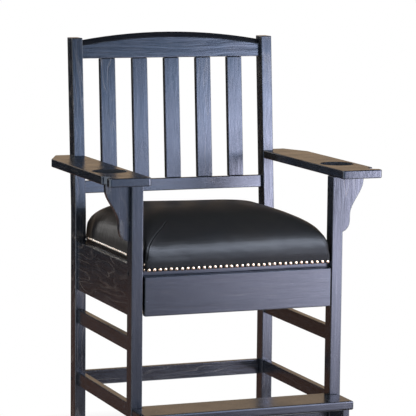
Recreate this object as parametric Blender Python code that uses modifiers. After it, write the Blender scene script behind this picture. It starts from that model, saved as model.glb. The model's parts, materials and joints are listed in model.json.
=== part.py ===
"""Bar-height armchair: black wooden frame, crowned leather seat, drawer, footrest and arms with cup recesses.

Metres, +Z up, the front toward -Y. Everything is laid out from the front face of the front legs (y = 0)
and the floor (z = 0), and one empty carries the whole chair to the middle of its footprint.
"""

import math

import bmesh
import bpy
from mathutils import Matrix, Vector

# Overall frame
FRAME_WIDTH = 0.592
FRAME_DEPTH = 0.5125
LEG_WIDTH = 0.0305
LEG_DEPTH = 0.038
POST_WIDTH = 0.031
POST_DEPTH = 0.042
POST_TOP = 1.2475
BEND_HEIGHT = 0.767
BEND_RADIUS = 0.8
BEND_STEPS = 4
RAKE_SLOPE_SHARE = 0.0769
EDGE_ROUND = 0.0018
MERGE = 0.00003
LEAST_CORNER = math.radians(30)
FIT = 0.0003

# Foot glides
GLIDE_RADIUS = 0.011
GLIDE_HEIGHT = 0.006
GLIDE_RIM = 0.0015

# Side members
APRON_TOP = 0.6895
APRON_HEIGHT = 0.1345
APRON_THICKNESS = 0.0245
APRON_INSET = 0.006
STRETCHER_THICKNESS = 0.018
STRETCHER_INSET = 0.008
UPPER_STRETCHER_TOP = 0.4995
UPPER_STRETCHER_HEIGHT = 0.039
LOWER_STRETCHER_TOP = 0.3236
LOWER_STRETCHER_HEIGHT = 0.038
TENON_LENGTH = 0.012
TENON_CHEEK = 0.0045
TENON_HEIGHT_SHARE = 0.5

# Rear members
REAR_RAIL_HEIGHT = 0.118
REAR_RAIL_THICKNESS = 0.022
REAR_RAIL_RECESS = 0.0165
REAR_STRETCHER_TOP = 0.3213
REAR_STRETCHER_HEIGHT = 0.0414
REAR_STRETCHER_THICKNESS = 0.017
REAR_STRETCHER_RECESS = 0.0248

# Front members
FRONT_RAIL_HEIGHT = 0.0190
FRONT_RAIL_THICKNESS = 0.0187
FRONT_RAIL_RECESS = 0.0190
FRONT_STRETCHER_HEIGHT = 0.045
FRONT_STRETCHER_THICKNESS = 0.018
FRONT_STRETCHER_RECESS = 0.010

# Back
CREST_DROP = 0.0570
CREST_FACE_HEIGHT = 0.058
CREST_ARCH_RISE = 0.0225
CREST_TOP_SLOPE = 0.0150
CREST_THICKNESS = 0.024
CREST_RECESS = 0.0145
CREST_ARC_STEPS = 14
BACK_RAIL_BOTTOM = 0.8210
BACK_RAIL_HEIGHT = 0.0345
BACK_RAIL_THICKNESS = 0.022
BACK_RAIL_RECESS = 0.0125
SLAT_COUNT = 5
SLAT_PITCH = 0.0941
SLAT_WIDTH = 0.044
SLAT_THICKNESS = 0.0165
SLAT_SETBACK = 0.0015
SLAT_TENON_LENGTH = 0.010
SLAT_TENON_SHOULDER = 0.004

# Footrest
FOOTREST_TOP = 0.318
FOOTREST_THICKNESS = 0.0243
FOOTREST_OVERHANG = 0.0937
FOOTREST_BACK = 0.0262
FOOTREST_END_INSET = 0.002
FOOTREST_ROUND = 0.0045
FOOT_BRACKET_THICKNESS = 0.018
FOOT_BRACKET_FRONT_INSET = 0.0185
FOOT_BRACKET_FACE = 0.026
FOOT_BRACKET_DROP = 0.078

# Arms
ARM_TOP = 0.926
ARM_THICKNESS = 0.0225
ARM_WIDTH = 0.1135
ARM_OVERHANG = 0.063
ARM_REAR_INSET = 0.009
ARM_CORNER_RADIUS = 0.007
ARM_CORNER_STEPS = 3
ARM_CLIP_WIDTH = 0.038
ARM_CLIP_LENGTH = 0.088
ARM_EDGE_ROUND = 0.0025
NOTCH_RADIUS = 0.0205
NOTCH_LIP = 0.022
NOTCH_STEPS = 10
CUP_RADIUS = 0.045
CUP_DEPTH = 0.014
CUP_RIM = 0.002
CUP_SETBACK = 0.166
CUP_SEGMENTS = 32

# Arm brackets
ARM_BRACKET_THICKNESS = 0.018
ARM_BRACKET_SETBACK = 0.017
ARM_BRACKET_REACH = 0.066
ARM_BRACKET_HEIGHT = 0.1515
ARM_BRACKET_LIP = 0.012
ARM_BRACKET_WAIST = 0.028
ARM_BRACKET_SHANK = 0.015
ARM_BRACKET_FOOT = 0.031
ARM_BRACKET_STEPS = 8
FOOT_STEPS = 5

# Seat
SEAT_PROUD = 0.005
SEAT_SIDE_GAP = 0.008
SEAT_OVER_APRON = 0.0005
SEAT_BOARD_THICKNESS = 0.012
SEAT_LEG_GAP = 0.006
SEAT_POST_GAP = 0.014
SEAT_BACK_RECESS = 0.030
SKIRT_DROP = 0.0175
SKIRT_THICKNESS = 0.016
SKIRT_LAP = 0.012
CUSHION_HEIGHT = 0.1345
CUSHION_CORNER_RADIUS = 0.024
CUSHION_CORNER_GROWTH = 0.28
CORNER_MOST_SHARE = 0.95
CUSHION_FRONT_ROLL = 0.28
CUSHION_DRAW_IN = 0.003
CUSHION_CORNER_STEPS = 4
CUSHION_SIDE_STEPS = 5
# Each pair is the share of the way in to the middle and the share of the height.
CUSHION_PROFILE_SHARES = (
    (0.000, 0.000),
    (0.000, 0.155),
    (0.002, 0.280),
    (0.014, 0.390),
    (0.050, 0.495),
    (0.118, 0.608),
    (0.245, 0.726),
    (0.434, 0.834),
    (0.660, 0.920),
    (0.850, 0.977),
)

# Nailhead trim
NAIL_RADIUS = 0.0047
NAIL_HEIGHT = 0.0034
NAIL_PITCH = 0.0145
NAIL_SEGMENTS = 6
NAIL_RINGS = 2
NAIL_BAND_HEIGHT = 0.003
NAIL_BAND_THICKNESS = 0.001
NAIL_BAND_MARGIN = 0.002
NAIL_RISE = 0.0065
NAIL_SIDE_RISE = 0.0115
NAIL_END_MARGIN = 0.006
NAIL_SIDE_MARGIN = 0.010

# Drawer
DRAWER_PROUD = 0.005
DRAWER_SIDE_GAP = 0.0045
DRAWER_TOP_LAP = 0.003
DRAWER_BOTTOM_SHOW = 0.0035
DRAWER_FRONT_THICKNESS = 0.0190
DRAWER_WALL = 0.012
DRAWER_BOTTOM_THICKNESS = 0.006
DRAWER_BOTTOM_RISE = 0.004
DRAWER_RUNNING_GAP = 0.005
DRAWER_HEAD_GAP = 0.007
DRAWER_REAR_GAP = 0.009
RUNNER_WIDTH = 0.020
RUNNER_HEIGHT = 0.012

# Corner blocks
BLOCK_LEG = 0.042
BLOCK_FRONT_THICKNESS = 0.018
BLOCK_REAR_THICKNESS = 0.050

# Frame bolts
BOLT_HEAD_RADIUS = 0.0055
BOLT_HEAD_HEIGHT = 0.0045
BOLT_SHANK_RADIUS = 0.003
BOLT_LENGTH = 0.052
BOLT_SOCKET_RADIUS = 0.0027
BOLT_SOCKET_SIDES = 6
BOLT_SOCKET_DEPTH = 0.0022
BOLT_SINK = 0.0065
BOLT_SEGMENTS = 16
HOLE_CLEARANCE = 0.0005

# How far a cutter runs past the face that it cuts
OVERRUN = 0.002

# The finishes: material name, colour, roughness, metallic
FINISHES = {
    "frame": ("black_wood", (0.022, 0.025, 0.033, 1.0), 0.38, 0.0),
    "leather": ("black_leather", (0.014, 0.014, 0.015, 1.0), 0.42, 0.0),
    "brass": ("brass_nails", (0.72, 0.50, 0.30, 1.0), 0.25, 1.0),
    "inner_wood": ("pale_wood", (0.52, 0.38, 0.24, 1.0), 0.6, 0.0),
    "steel": ("dark_steel", (0.05, 0.05, 0.055, 1.0), 0.4, 1.0),
    "nylon": ("nylon", (0.03, 0.03, 0.03, 1.0), 0.5, 0.0),
}

# Places that follow from the sizes above
HALF_WIDTH = FRAME_WIDTH / 2
LEG_INNER = HALF_WIDTH - LEG_WIDTH
POST_INNER = HALF_WIDTH - POST_WIDTH
POST_FRONT = FRAME_DEPTH - POST_DEPTH
RAKE = math.atan(RAKE_SLOPE_SHARE)
ARM_BOTTOM = ARM_TOP - ARM_THICKNESS
APRON_INNER = HALF_WIDTH - APRON_INSET - APRON_THICKNESS
BOARD_TOP = APRON_TOP - FIT
BOARD_BOTTOM = BOARD_TOP - SEAT_BOARD_THICKNESS
FRONT_RAIL_TOP = BOARD_BOTTOM - FIT
FRONT_RAIL_BOTTOM = FRONT_RAIL_TOP - FRONT_RAIL_HEIGHT
SEAT_BACK = POST_FRONT + SEAT_BACK_RECESS
SEAT_HALF = APRON_INNER + SEAT_OVER_APRON
SEAT_FRONT_HALF = LEG_INNER - SEAT_SIDE_GAP
SEAT_REAR_HALF = POST_INNER - SEAT_SIDE_GAP
DRAWER_FRONT_TOP = FRONT_RAIL_BOTTOM + DRAWER_TOP_LAP
DRAWER_FRONT_BOTTOM = APRON_TOP - APRON_HEIGHT + DRAWER_BOTTOM_SHOW
DRAWER_BOX_FRONT = DRAWER_FRONT_THICKNESS - DRAWER_PROUD + FIT
DRAWER_BOX_BACK = POST_FRONT - BLOCK_LEG - DRAWER_REAR_GAP
DRAWER_BOX_HALF = APRON_INNER - DRAWER_RUNNING_GAP
DRAWER_BOX_BOTTOM = DRAWER_FRONT_BOTTOM + RUNNER_HEIGHT + FIT
DRAWER_BOX_TOP = FRONT_RAIL_BOTTOM - DRAWER_HEAD_GAP
REAR_RAIL_FRONT = POST_FRONT + REAR_RAIL_RECESS
REAR_MOST = FRAME_DEPTH + (POST_TOP - EDGE_ROUND - BEND_HEIGHT) * RAKE_SLOPE_SHARE
ORIGIN_SHIFT = (FOOTREST_OVERHANG - REAR_MOST) / 2


def clear_scene():
    for item in list(bpy.data.objects):
        bpy.data.objects.remove(item, do_unlink=True)


def make_collection(name, hidden=False):
    collection = bpy.data.collections.new(name)
    bpy.context.scene.collection.children.link(collection)
    collection.hide_render = hidden
    return collection


def make_material(name, colour, roughness, metallic):
    material = bpy.data.materials.new(name)
    material.use_nodes = True
    shader = material.node_tree.nodes["Principled BSDF"]
    shader.inputs["Base Color"].default_value = colour
    shader.inputs["Roughness"].default_value = roughness
    shader.inputs["Metallic"].default_value = metallic
    material.diffuse_color = colour
    return material


clear_scene()
CHAIR = make_collection("bar_armchair")
CUTTERS = make_collection("cutters", hidden=True)
FINISH = {key: make_material(*values) for key, values in FINISHES.items()}


def make_empty(name, place, parent=None):
    empty = bpy.data.objects.new(name, None)
    CHAIR.objects.link(empty)
    empty.parent = parent
    empty.location = place
    return empty


CHAIR_ORIGIN = make_empty("chair_origin", Vector((0, ORIGIN_SHIFT, 0)))
DRAWER_PLACE = Vector((0, -DRAWER_PROUD, (DRAWER_FRONT_TOP + DRAWER_FRONT_BOTTOM) / 2))
DRAWER_SLIDE = make_empty("drawer_slide", DRAWER_PLACE, CHAIR_ORIGIN)


def settle(name, mesh, finish, drawer=False):
    """Gives a mesh that is laid out in the chair's places an object whose origin is at its middle."""
    corners = [vertex.co for vertex in mesh.vertices]
    low = Vector([min(corner[i] for corner in corners) for i in range(3)])
    high = Vector([max(corner[i] for corner in corners) for i in range(3)])
    middle = (low + high) / 2
    mesh.transform(Matrix.Translation(-middle))
    mesh.name = name
    item = bpy.data.objects.new(name, mesh)
    item.parent = DRAWER_SLIDE if drawer else CHAIR_ORIGIN
    item.location = middle - DRAWER_PLACE if drawer else middle
    if finish is None:
        CUTTERS.objects.link(item)
        item.hide_render = True
        item.display_type = "WIRE"
    else:
        CHAIR.objects.link(item)
        mesh.materials.append(FINISH[finish])
    return item


def finished_mesh(bm, name):
    bmesh.ops.recalc_face_normals(bm, faces=bm.faces)
    mesh = bpy.data.meshes.new(name)
    bm.to_mesh(mesh)
    bm.free()
    return mesh


def add_box(bm, low, high):
    size = [high[i] - low[i] for i in range(3)]
    middle = [(high[i] + low[i]) / 2 for i in range(3)]
    spread = Matrix.Translation(middle) @ Matrix.Diagonal((*size, 1))
    bmesh.ops.create_cube(bm, size=1, matrix=spread)


def round_edges(item, width, segments=2):
    """Rounds the outward corners. Inward ones stay sharp, so that a piece seats in them."""
    bm = bmesh.new()
    bm.from_mesh(item.data)
    weight = bm.edges.layers.float.new("bevel_weight_edge")
    for edge in bm.edges:
        if edge.is_convex and edge.calc_face_angle() > LEAST_CORNER:
            edge[weight] = 1
    bm.to_mesh(item.data)
    bm.free()
    bevel = item.modifiers.new("edge_round", "BEVEL")
    bevel.width = width
    bevel.segments = segments
    bevel.limit_method = "WEIGHT"
    bevel.use_clamp_overlap = True


def board(name, low, high, finish="frame", edge=EDGE_ROUND, drawer=False):
    """A box from its low corner to its high corner, with rounded edges."""
    bm = bmesh.new()
    add_box(bm, low, high)
    item = settle(name, finished_mesh(bm, name), finish, drawer)
    if edge:
        round_edges(item, edge)
    return item


def side_board(
    name, side, inner, outer, front, back, bottom, top, finish="frame", edge=EDGE_ROUND, drawer=False
):
    """A box on the left (side -1) or right (side +1), between two distances from the middle plane."""
    low = (min(side * inner, side * outer), front, bottom)
    high = (max(side * inner, side * outer), back, top)
    return board(name, low, high, finish, edge, drawer)


def boxes_cutter(name, boxes):
    bm = bmesh.new()
    for low, high in boxes:
        add_box(bm, low, high)
    return settle(name, finished_mesh(bm, name), None)


def combine(item, other, operation):
    modifier = item.modifiers.new(operation.lower(), "BOOLEAN")
    modifier.operation = operation
    modifier.object = other
    modifier.solver = "EXACT"


def cut(item, other):
    combine(item, other, "DIFFERENCE")


def join(item, other):
    combine(item, other, "UNION")


def outline_mesh(name, points, thickness):
    """A flat outline in x and y, as a filled 2D curve made a mesh, centred on z = 0."""
    curve = bpy.data.curves.new(name, "CURVE")
    curve.dimensions = "2D"
    curve.fill_mode = "BOTH"
    curve.extrude = thickness / 2
    spline = curve.splines.new("POLY")
    spline.points.add(len(points) - 1)
    for point, (x, y) in zip(spline.points, points):
        point.co = (x, y, 0, 1)
    spline.use_cyclic_u = True
    item = bpy.data.objects.new(name, curve)
    CHAIR.objects.link(item)
    graph = bpy.context.evaluated_depsgraph_get()
    mesh = bpy.data.meshes.new_from_object(item.evaluated_get(graph))
    bpy.data.objects.remove(item)
    bm = bmesh.new()
    bm.from_mesh(mesh)
    bmesh.ops.remove_doubles(bm, verts=bm.verts, dist=MERGE)
    bmesh.ops.dissolve_limit(bm, angle_limit=math.radians(1), verts=bm.verts, edges=bm.edges)
    bm.to_mesh(mesh)
    bm.free()
    return mesh


# Turns an outline's x, y and thickness to the plane that it stands in
PLANES = {
    "xy": Matrix.Identity(4),
    "xz": Matrix(((1, 0, 0, 0), (0, 0, 1, 0), (0, 1, 0, 0), (0, 0, 0, 1))),
    "yz": Matrix(((0, 0, 1, 0), (1, 0, 0, 0), (0, 1, 0, 0), (0, 0, 0, 1))),
}


def slab(name, points, start, thickness, plane, finish="frame", edge=EDGE_ROUND):
    """An outline in one plane, standing from start to start plus thickness across it."""
    mesh = outline_mesh(name, points, thickness)
    mesh.transform(PLANES[plane] @ Matrix.Translation((0, 0, start + thickness / 2)))
    bm = bmesh.new()
    bm.from_mesh(mesh)
    bmesh.ops.recalc_face_normals(bm, faces=bm.faces)
    bm.to_mesh(mesh)
    bm.free()
    item = settle(name, mesh, finish)
    if edge:
        round_edges(item, edge)
    return item


def turned(name, profile, place, finish, axis="Z", segments=BOLT_SEGMENTS):
    """A profile of (radius, height) pairs, from the top of the axis down the outside, turned round it."""
    mesh = bpy.data.meshes.new(name)
    mesh.from_pydata([(r, 0, h) for r, h in profile], [(i, i + 1) for i in range(len(profile) - 1)], [])
    item = bpy.data.objects.new(name, mesh)
    item.parent = CHAIR_ORIGIN
    item.location = place
    if axis != "Z":
        item.rotation_euler = (0, math.radians(90) * (1 if axis == "+X" else -1), 0)
    if finish is None:
        CUTTERS.objects.link(item)
        item.hide_render = True
        item.display_type = "WIRE"
    else:
        CHAIR.objects.link(item)
        mesh.materials.append(FINISH[finish])
    screw = item.modifiers.new("turn", "SCREW")
    screw.axis = "Z"
    screw.steps = segments
    screw.render_steps = segments
    screw.use_merge_vertices = True
    screw.merge_threshold = MERGE
    screw.use_smooth_shade = True
    return item


def arc(middle, radius, start, end, steps):
    """Points on a circle, from the start angle to the end angle in degrees."""
    points = []
    for i in range(steps + 1):
        angle = math.radians(start + (end - start) * i / steps)
        points.append((middle[0] + radius * math.cos(angle), middle[1] + radius * math.sin(angle)))
    return points


def ellipse(middle, across, up, start, end, steps):
    points = []
    for i in range(steps + 1):
        angle = math.radians(start + (end - start) * i / steps)
        points.append((middle[0] + across * math.cos(angle), middle[1] + up * math.sin(angle)))
    return points


def reclined(depth, height):
    """Depth behind the posts' front face and height above their bend, as a place in y and z."""
    return (
        POST_FRONT + depth * math.cos(RAKE) + height * math.sin(RAKE),
        BEND_HEIGHT - depth * math.sin(RAKE) + height * math.cos(RAKE),
    )


def climb(level, depth=0):
    """How far up the raked part of a post a level above the floor lies, at a depth behind its front face."""
    return (level - BEND_HEIGHT + depth * math.sin(RAKE)) / math.cos(RAKE)


def recline(item):
    """Leans a piece that was laid out upright from the bend back with the posts."""
    bend = Vector((0, POST_FRONT, BEND_HEIGHT))
    lean = Matrix.Rotation(-RAKE, 4, "X")
    item.location = bend + lean @ (item.location - bend)
    item.rotation_euler = (-RAKE, 0, 0)


def upright(level, depth=0):
    """The level at which a piece is laid out, so that it reaches the given level once it leans back."""
    return BEND_HEIGHT + climb(level, depth)


def side_name(stem, side):
    return f"{stem}_{'left' if side < 0 else 'right'}"


def mortise_box(side, inner, outer, front, back, bottom, top):
    """The hole for a tenon: the tenon's box with the fit's clearance on every side."""
    low = (min(side * inner, side * outer) - FIT, front - FIT, bottom - FIT)
    high = (max(side * inner, side * outer) + FIT, back + FIT, top + FIT)
    return low, high


# Side members: name stem, inner face, outer face, bottom and top
SIDE_MEMBERS = (
    ("side_apron", APRON_INNER, HALF_WIDTH - APRON_INSET, APRON_TOP - APRON_HEIGHT, APRON_TOP),
    (
        "upper_side_stretcher",
        HALF_WIDTH - STRETCHER_INSET - STRETCHER_THICKNESS,
        HALF_WIDTH - STRETCHER_INSET,
        UPPER_STRETCHER_TOP - UPPER_STRETCHER_HEIGHT,
        UPPER_STRETCHER_TOP,
    ),
    (
        "lower_side_stretcher",
        HALF_WIDTH - STRETCHER_INSET - STRETCHER_THICKNESS,
        HALF_WIDTH - STRETCHER_INSET,
        LOWER_STRETCHER_TOP - LOWER_STRETCHER_HEIGHT,
        LOWER_STRETCHER_TOP,
    ),
)


def tenon_span(inner, outer, bottom, top):
    """A tenon's inner and outer face, bottom and top, from those of the member that it stands on."""
    middle = (bottom + top) / 2
    half = (top - bottom) * TENON_HEIGHT_SHARE / 2
    return inner + TENON_CHEEK, outer - TENON_CHEEK, middle - half, middle + half


def make_side_member(stem, side, inner, outer, bottom, top):
    name = side_name(stem, side)
    front = LEG_DEPTH + FIT
    back = POST_FRONT - FIT
    member = side_board(name, side, inner, outer, front, back, bottom, top)
    near, far, low, high = tenon_span(inner, outer, bottom, top)
    spans = ((front - TENON_LENGTH, front + OVERRUN), (back - OVERRUN, back + TENON_LENGTH))
    boxes = []
    for start, end in spans:
        boxes.append(((min(side * near, side * far), start, low), (max(side * near, side * far), end, high)))
    join(member, boxes_cutter(name + "_tenons", boxes))


def side_mortises(side, front, back):
    """The mortises that the side members need in a leg or post, between two places in y."""
    boxes = []
    for _, inner, outer, bottom, top in SIDE_MEMBERS:
        near, far, low, high = tenon_span(inner, outer, bottom, top)
        boxes.append(mortise_box(side, near, far, front, back, low, high))
    return boxes


def bolt_profile(head, shank, top, step, tip):
    return ((0, top), (head, top), (head, step), (shank, step), (shank, tip), (0, tip))


def bolt_place(side, depth, level):
    return Vector((side * HALF_WIDTH, depth, level))


def make_bolt_hole(name, side, depth, level):
    """A stepped hole from the outer face inward: a wide mouth for the head and a bore for the shank."""
    profile = bolt_profile(
        BOLT_HEAD_RADIUS + HOLE_CLEARANCE,
        BOLT_SHANK_RADIUS + HOLE_CLEARANCE,
        OVERRUN,
        -BOLT_SINK - BOLT_HEAD_HEIGHT - FIT,
        -BOLT_SINK - BOLT_LENGTH - OVERRUN,
    )
    return turned(name, profile, bolt_place(side, depth, level), None, "+X" if side > 0 else "-X")


def make_bolt(name, side, depth, level):
    profile = bolt_profile(
        BOLT_HEAD_RADIUS,
        BOLT_SHANK_RADIUS,
        -BOLT_SINK,
        -BOLT_SINK - BOLT_HEAD_HEIGHT,
        -BOLT_SINK - BOLT_LENGTH,
    )
    bolt = turned(name, profile, bolt_place(side, depth, level), "steel", "+X" if side > 0 else "-X")
    turn = Matrix.Rotation(math.radians(90), 4, "Y")
    bm = bmesh.new()
    bmesh.ops.create_cone(
        bm,
        cap_ends=True,
        segments=BOLT_SOCKET_SIDES,
        radius1=BOLT_SOCKET_RADIUS,
        radius2=BOLT_SOCKET_RADIUS,
        depth=2 * BOLT_SOCKET_DEPTH,
        matrix=Matrix.Translation((side * (HALF_WIDTH - BOLT_SINK), depth, level)) @ turn,
    )
    cut(bolt, settle(name + "_socket", finished_mesh(bm, name), None))


def post_outline():
    """The bent post's side view: straight below the bend, an arc, and straight to the raked top."""
    start = BEND_HEIGHT - BEND_RADIUS * math.tan(RAKE / 2)
    front = []
    back = []
    for i in range(BEND_STEPS + 1):
        angle = RAKE * i / BEND_STEPS
        middle = POST_FRONT + BEND_RADIUS
        front.append((middle - BEND_RADIUS * math.cos(angle), start + BEND_RADIUS * math.sin(angle)))
        inner = BEND_RADIUS - POST_DEPTH
        back.append((middle - inner * math.cos(angle), start + inner * math.sin(angle)))
    foot = GLIDE_HEIGHT + FIT
    top_front = (POST_FRONT + (POST_TOP - BEND_HEIGHT) * RAKE_SLOPE_SHARE, POST_TOP)
    top_back = (top_front[0] + POST_DEPTH / math.cos(RAKE), POST_TOP)
    return [(POST_FRONT, foot), *front, top_front, top_back, *reversed(back), (FRAME_DEPTH, foot)]


def make_leg(side, holes):
    name = side_name("front_leg", side)
    top = ARM_BOTTOM - FIT
    leg = side_board(name, side, LEG_INNER, HALF_WIDTH, 0, LEG_DEPTH, GLIDE_HEIGHT + FIT, top)
    mortises = side_mortises(side, LEG_DEPTH - TENON_LENGTH, LEG_DEPTH + OVERRUN)
    cut(leg, boxes_cutter(name + "_mortises", mortises))
    for hole in holes:
        cut(leg, hole)


def make_post(side, holes):
    name = side_name("rear_post", side)
    start = HALF_WIDTH - POST_WIDTH if side > 0 else -HALF_WIDTH
    post = slab(name, post_outline(), start, POST_WIDTH, "yz")
    mortises = side_mortises(side, POST_FRONT - OVERRUN, POST_FRONT + TENON_LENGTH)
    cut(post, boxes_cutter(name + "_mortises", mortises))
    for hole in holes:
        cut(post, hole)


def make_glides():
    profile = (
        (0, GLIDE_HEIGHT),
        (GLIDE_RADIUS, GLIDE_HEIGHT),
        (GLIDE_RADIUS, GLIDE_RIM),
        (GLIDE_RADIUS - GLIDE_RIM, 0),
        (0, 0),
    )
    for side in (-1, 1):
        leg = Vector((side * (HALF_WIDTH - LEG_WIDTH / 2), LEG_DEPTH / 2, 0))
        post = Vector((side * (HALF_WIDTH - POST_WIDTH / 2), FRAME_DEPTH - POST_DEPTH / 2, 0))
        turned(side_name("front_glide", side), profile, leg, "nylon")
        turned(side_name("rear_glide", side), profile, post, "nylon")


def slat_middles():
    return [SLAT_PITCH * (i - (SLAT_COUNT - 1) / 2) for i in range(SLAT_COUNT)]


SLAT_FRONT = POST_FRONT + CREST_RECESS + SLAT_SETBACK
CREST_BASE = upright(POST_TOP - CREST_DROP, CREST_RECESS)
BACK_RAIL_BASE = upright(BACK_RAIL_BOTTOM, BACK_RAIL_RECESS)


def slat_tenon(middle, clearance):
    """The low and high corners of a slat from tenon to tenon, with a clearance all round."""
    half = SLAT_WIDTH / 2 - SLAT_TENON_SHOULDER
    low = (
        middle - half - clearance,
        SLAT_FRONT + SLAT_TENON_SHOULDER - clearance,
        BACK_RAIL_BASE + BACK_RAIL_HEIGHT - SLAT_TENON_LENGTH - clearance,
    )
    high = (
        middle + half + clearance,
        SLAT_FRONT + SLAT_THICKNESS - SLAT_TENON_SHOULDER + clearance,
        CREST_BASE + SLAT_TENON_LENGTH + clearance,
    )
    return low, high


def make_slats():
    for i, middle in enumerate(slat_middles()):
        name = f"back_slat_{i + 1}"
        low = (middle - SLAT_WIDTH / 2, SLAT_FRONT, BACK_RAIL_BASE + BACK_RAIL_HEIGHT + FIT)
        high = (middle + SLAT_WIDTH / 2, SLAT_FRONT + SLAT_THICKNESS, CREST_BASE - FIT)
        slat = board(name, low, high)
        tenons = boxes_cutter(name + "_tenons", [slat_tenon(middle, 0)])
        recline(slat)
        recline(tenons)
        join(slat, tenons)


def make_slat_mortises():
    boxes = [slat_tenon(middle, FIT) for middle in slat_middles()]
    mortises = boxes_cutter("slat_mortises", boxes)
    recline(mortises)
    return mortises


def make_crest(holes, mortises):
    """An arched rail: its back face rises above its front face, so its top slopes up toward the back."""
    half = POST_INNER - FIT
    radius = (half**2 + CREST_ARCH_RISE**2) / (2 * CREST_ARCH_RISE)
    front = POST_FRONT + CREST_RECESS
    bm = bmesh.new()
    rings = []
    for depth, rise in ((front, 0), (front + CREST_THICKNESS, CREST_TOP_SLOPE)):
        ring = [bm.verts.new((half, depth, CREST_BASE)), bm.verts.new((-half, depth, CREST_BASE))]
        for i in range(CREST_ARC_STEPS + 1):
            x = half * (2 * i / CREST_ARC_STEPS - 1)
            drop = radius - math.sqrt(radius**2 - x**2)
            ring.append(bm.verts.new((x, depth, CREST_BASE + CREST_FACE_HEIGHT + rise - drop)))
        rings.append(ring)
    bm.faces.new(rings[0])
    bm.faces.new(reversed(rings[1]))
    count = len(rings[0])
    for i in range(count):
        j = (i + 1) % count
        bm.faces.new((rings[0][j], rings[0][i], rings[1][i], rings[1][j]))
    crest = settle("crest_rail", finished_mesh(bm, "crest_rail"), "frame")
    recline(crest)
    round_edges(crest, EDGE_ROUND)
    cut(crest, mortises)
    for hole in holes:
        cut(crest, hole)


def make_back_rail(holes, mortises):
    half = POST_INNER - FIT
    front = POST_FRONT + BACK_RAIL_RECESS
    low = (-half, front, BACK_RAIL_BASE)
    high = (half, front + BACK_RAIL_THICKNESS, BACK_RAIL_BASE + BACK_RAIL_HEIGHT)
    rail = board("lower_back_rail", low, high)
    recline(rail)
    cut(rail, mortises)
    for hole in holes:
        cut(rail, hole)


def make_cross_rail(name, half, front, thickness, bottom, top, holes=()):
    rail = board(name, (-half, front, bottom), (half, front + thickness, top))
    for hole in holes:
        cut(rail, hole)


def make_footrest():
    """A board in front of the legs that runs back between them."""
    half = HALF_WIDTH - FOOTREST_END_INSET
    inner = LEG_INNER - FIT
    points = [
        (-half, -FOOTREST_OVERHANG),
        (half, -FOOTREST_OVERHANG),
        (half, -FIT),
        (inner, -FIT),
        (inner, FOOTREST_BACK),
        (-inner, FOOTREST_BACK),
        (-inner, -FIT),
        (-half, -FIT),
    ]
    bottom = FOOTREST_TOP - FOOTREST_THICKNESS
    slab("footrest_board", points, bottom, FOOTREST_THICKNESS, "xy", edge=FOOTREST_ROUND)


def make_foot_bracket(side):
    """A shelf bracket in front of a leg: a short upright face, then a hollow curve down to the leg."""
    top = FOOTREST_TOP - FOOTREST_THICKNESS - FIT
    front = -FOOTREST_OVERHANG + FOOT_BRACKET_FRONT_INSET
    back = -FIT
    reach = back - front - FOOT_BRACKET_THICKNESS
    drop = FOOT_BRACKET_DROP - FOOT_BRACKET_FACE
    curve = ellipse((front, top - FOOT_BRACKET_DROP), reach, drop, 90, 0, FOOT_STEPS)
    points = [(back, top), (front, top), *curve, (back, top - FOOT_BRACKET_DROP)]
    start = LEG_INNER + (LEG_WIDTH - FOOT_BRACKET_THICKNESS) / 2
    if side < 0:
        start = -start - FOOT_BRACKET_THICKNESS
    slab(side_name("footrest_bracket", side), points, start, FOOT_BRACKET_THICKNESS, "yz")


def arm_outline():
    """The right arm from above, anticlockwise from its inner front corner."""
    inner = LEG_INNER
    outer = inner + ARM_WIDTH
    front = -ARM_OVERHANG
    post_side = HALF_WIDTH + FIT
    rise = ARM_BOTTOM - BEND_HEIGHT
    post_face = POST_FRONT + rise * RAKE_SLOPE_SHARE - FIT
    rear = FRAME_DEPTH + rise * RAKE_SLOPE_SHARE - ARM_REAR_INSET
    r = ARM_CORNER_RADIUS
    notch_middle = front + NOTCH_LIP + NOTCH_RADIUS
    points = arc((inner + r, front + r), r, 180, 270, ARM_CORNER_STEPS)
    points += arc((outer - r, front + r), r, 270, 360, ARM_CORNER_STEPS)
    points += arc((outer, notch_middle), NOTCH_RADIUS, 270, 90, NOTCH_STEPS)
    points += [(outer, rear - ARM_CLIP_LENGTH), (outer - ARM_CLIP_WIDTH, rear)]
    points += [(post_side, rear), (post_side, post_face), (inner, post_face)]
    return points


def make_arm(side):
    name = side_name("arm", side)
    points = [(side * x, y) for x, y in arm_outline()]
    arm = slab(name, points, ARM_BOTTOM, ARM_THICKNESS, "xy", edge=ARM_EDGE_ROUND)
    profile = (
        (0, OVERRUN),
        (CUP_RADIUS + CUP_RIM, OVERRUN),
        (CUP_RADIUS + CUP_RIM, 0),
        (CUP_RADIUS, -CUP_RIM),
        (CUP_RADIUS, -CUP_DEPTH),
        (0, -CUP_DEPTH),
    )
    place = Vector((side * (LEG_INNER + ARM_WIDTH / 2), CUP_SETBACK - ARM_OVERHANG, ARM_TOP))
    cut(arm, turned(name + "_cup", profile, place, None, segments=CUP_SEGMENTS))


def arm_bracket_outline():
    """The S-shaped bracket from the front, from the leg's outer face outward."""
    root = HALF_WIDTH + FIT
    top = ARM_BOTTOM - FIT
    belly = top - ARM_BRACKET_LIP
    waist = top - ARM_BRACKET_HEIGHT + ARM_BRACKET_FOOT
    points = [(root, top), (root + ARM_BRACKET_REACH, top)]
    for i in range(ARM_BRACKET_STEPS + 1):
        share = i / ARM_BRACKET_STEPS
        narrowing = (ARM_BRACKET_REACH - ARM_BRACKET_WAIST) * (1 - math.cos(math.pi * share)) / 2
        level = belly - (belly - waist - ARM_BRACKET_SHANK) * share
        points.append((root + ARM_BRACKET_REACH - narrowing, level))
    points += ellipse((root, waist), ARM_BRACKET_WAIST, ARM_BRACKET_FOOT, 0, -90, FOOT_STEPS)
    return points


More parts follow.
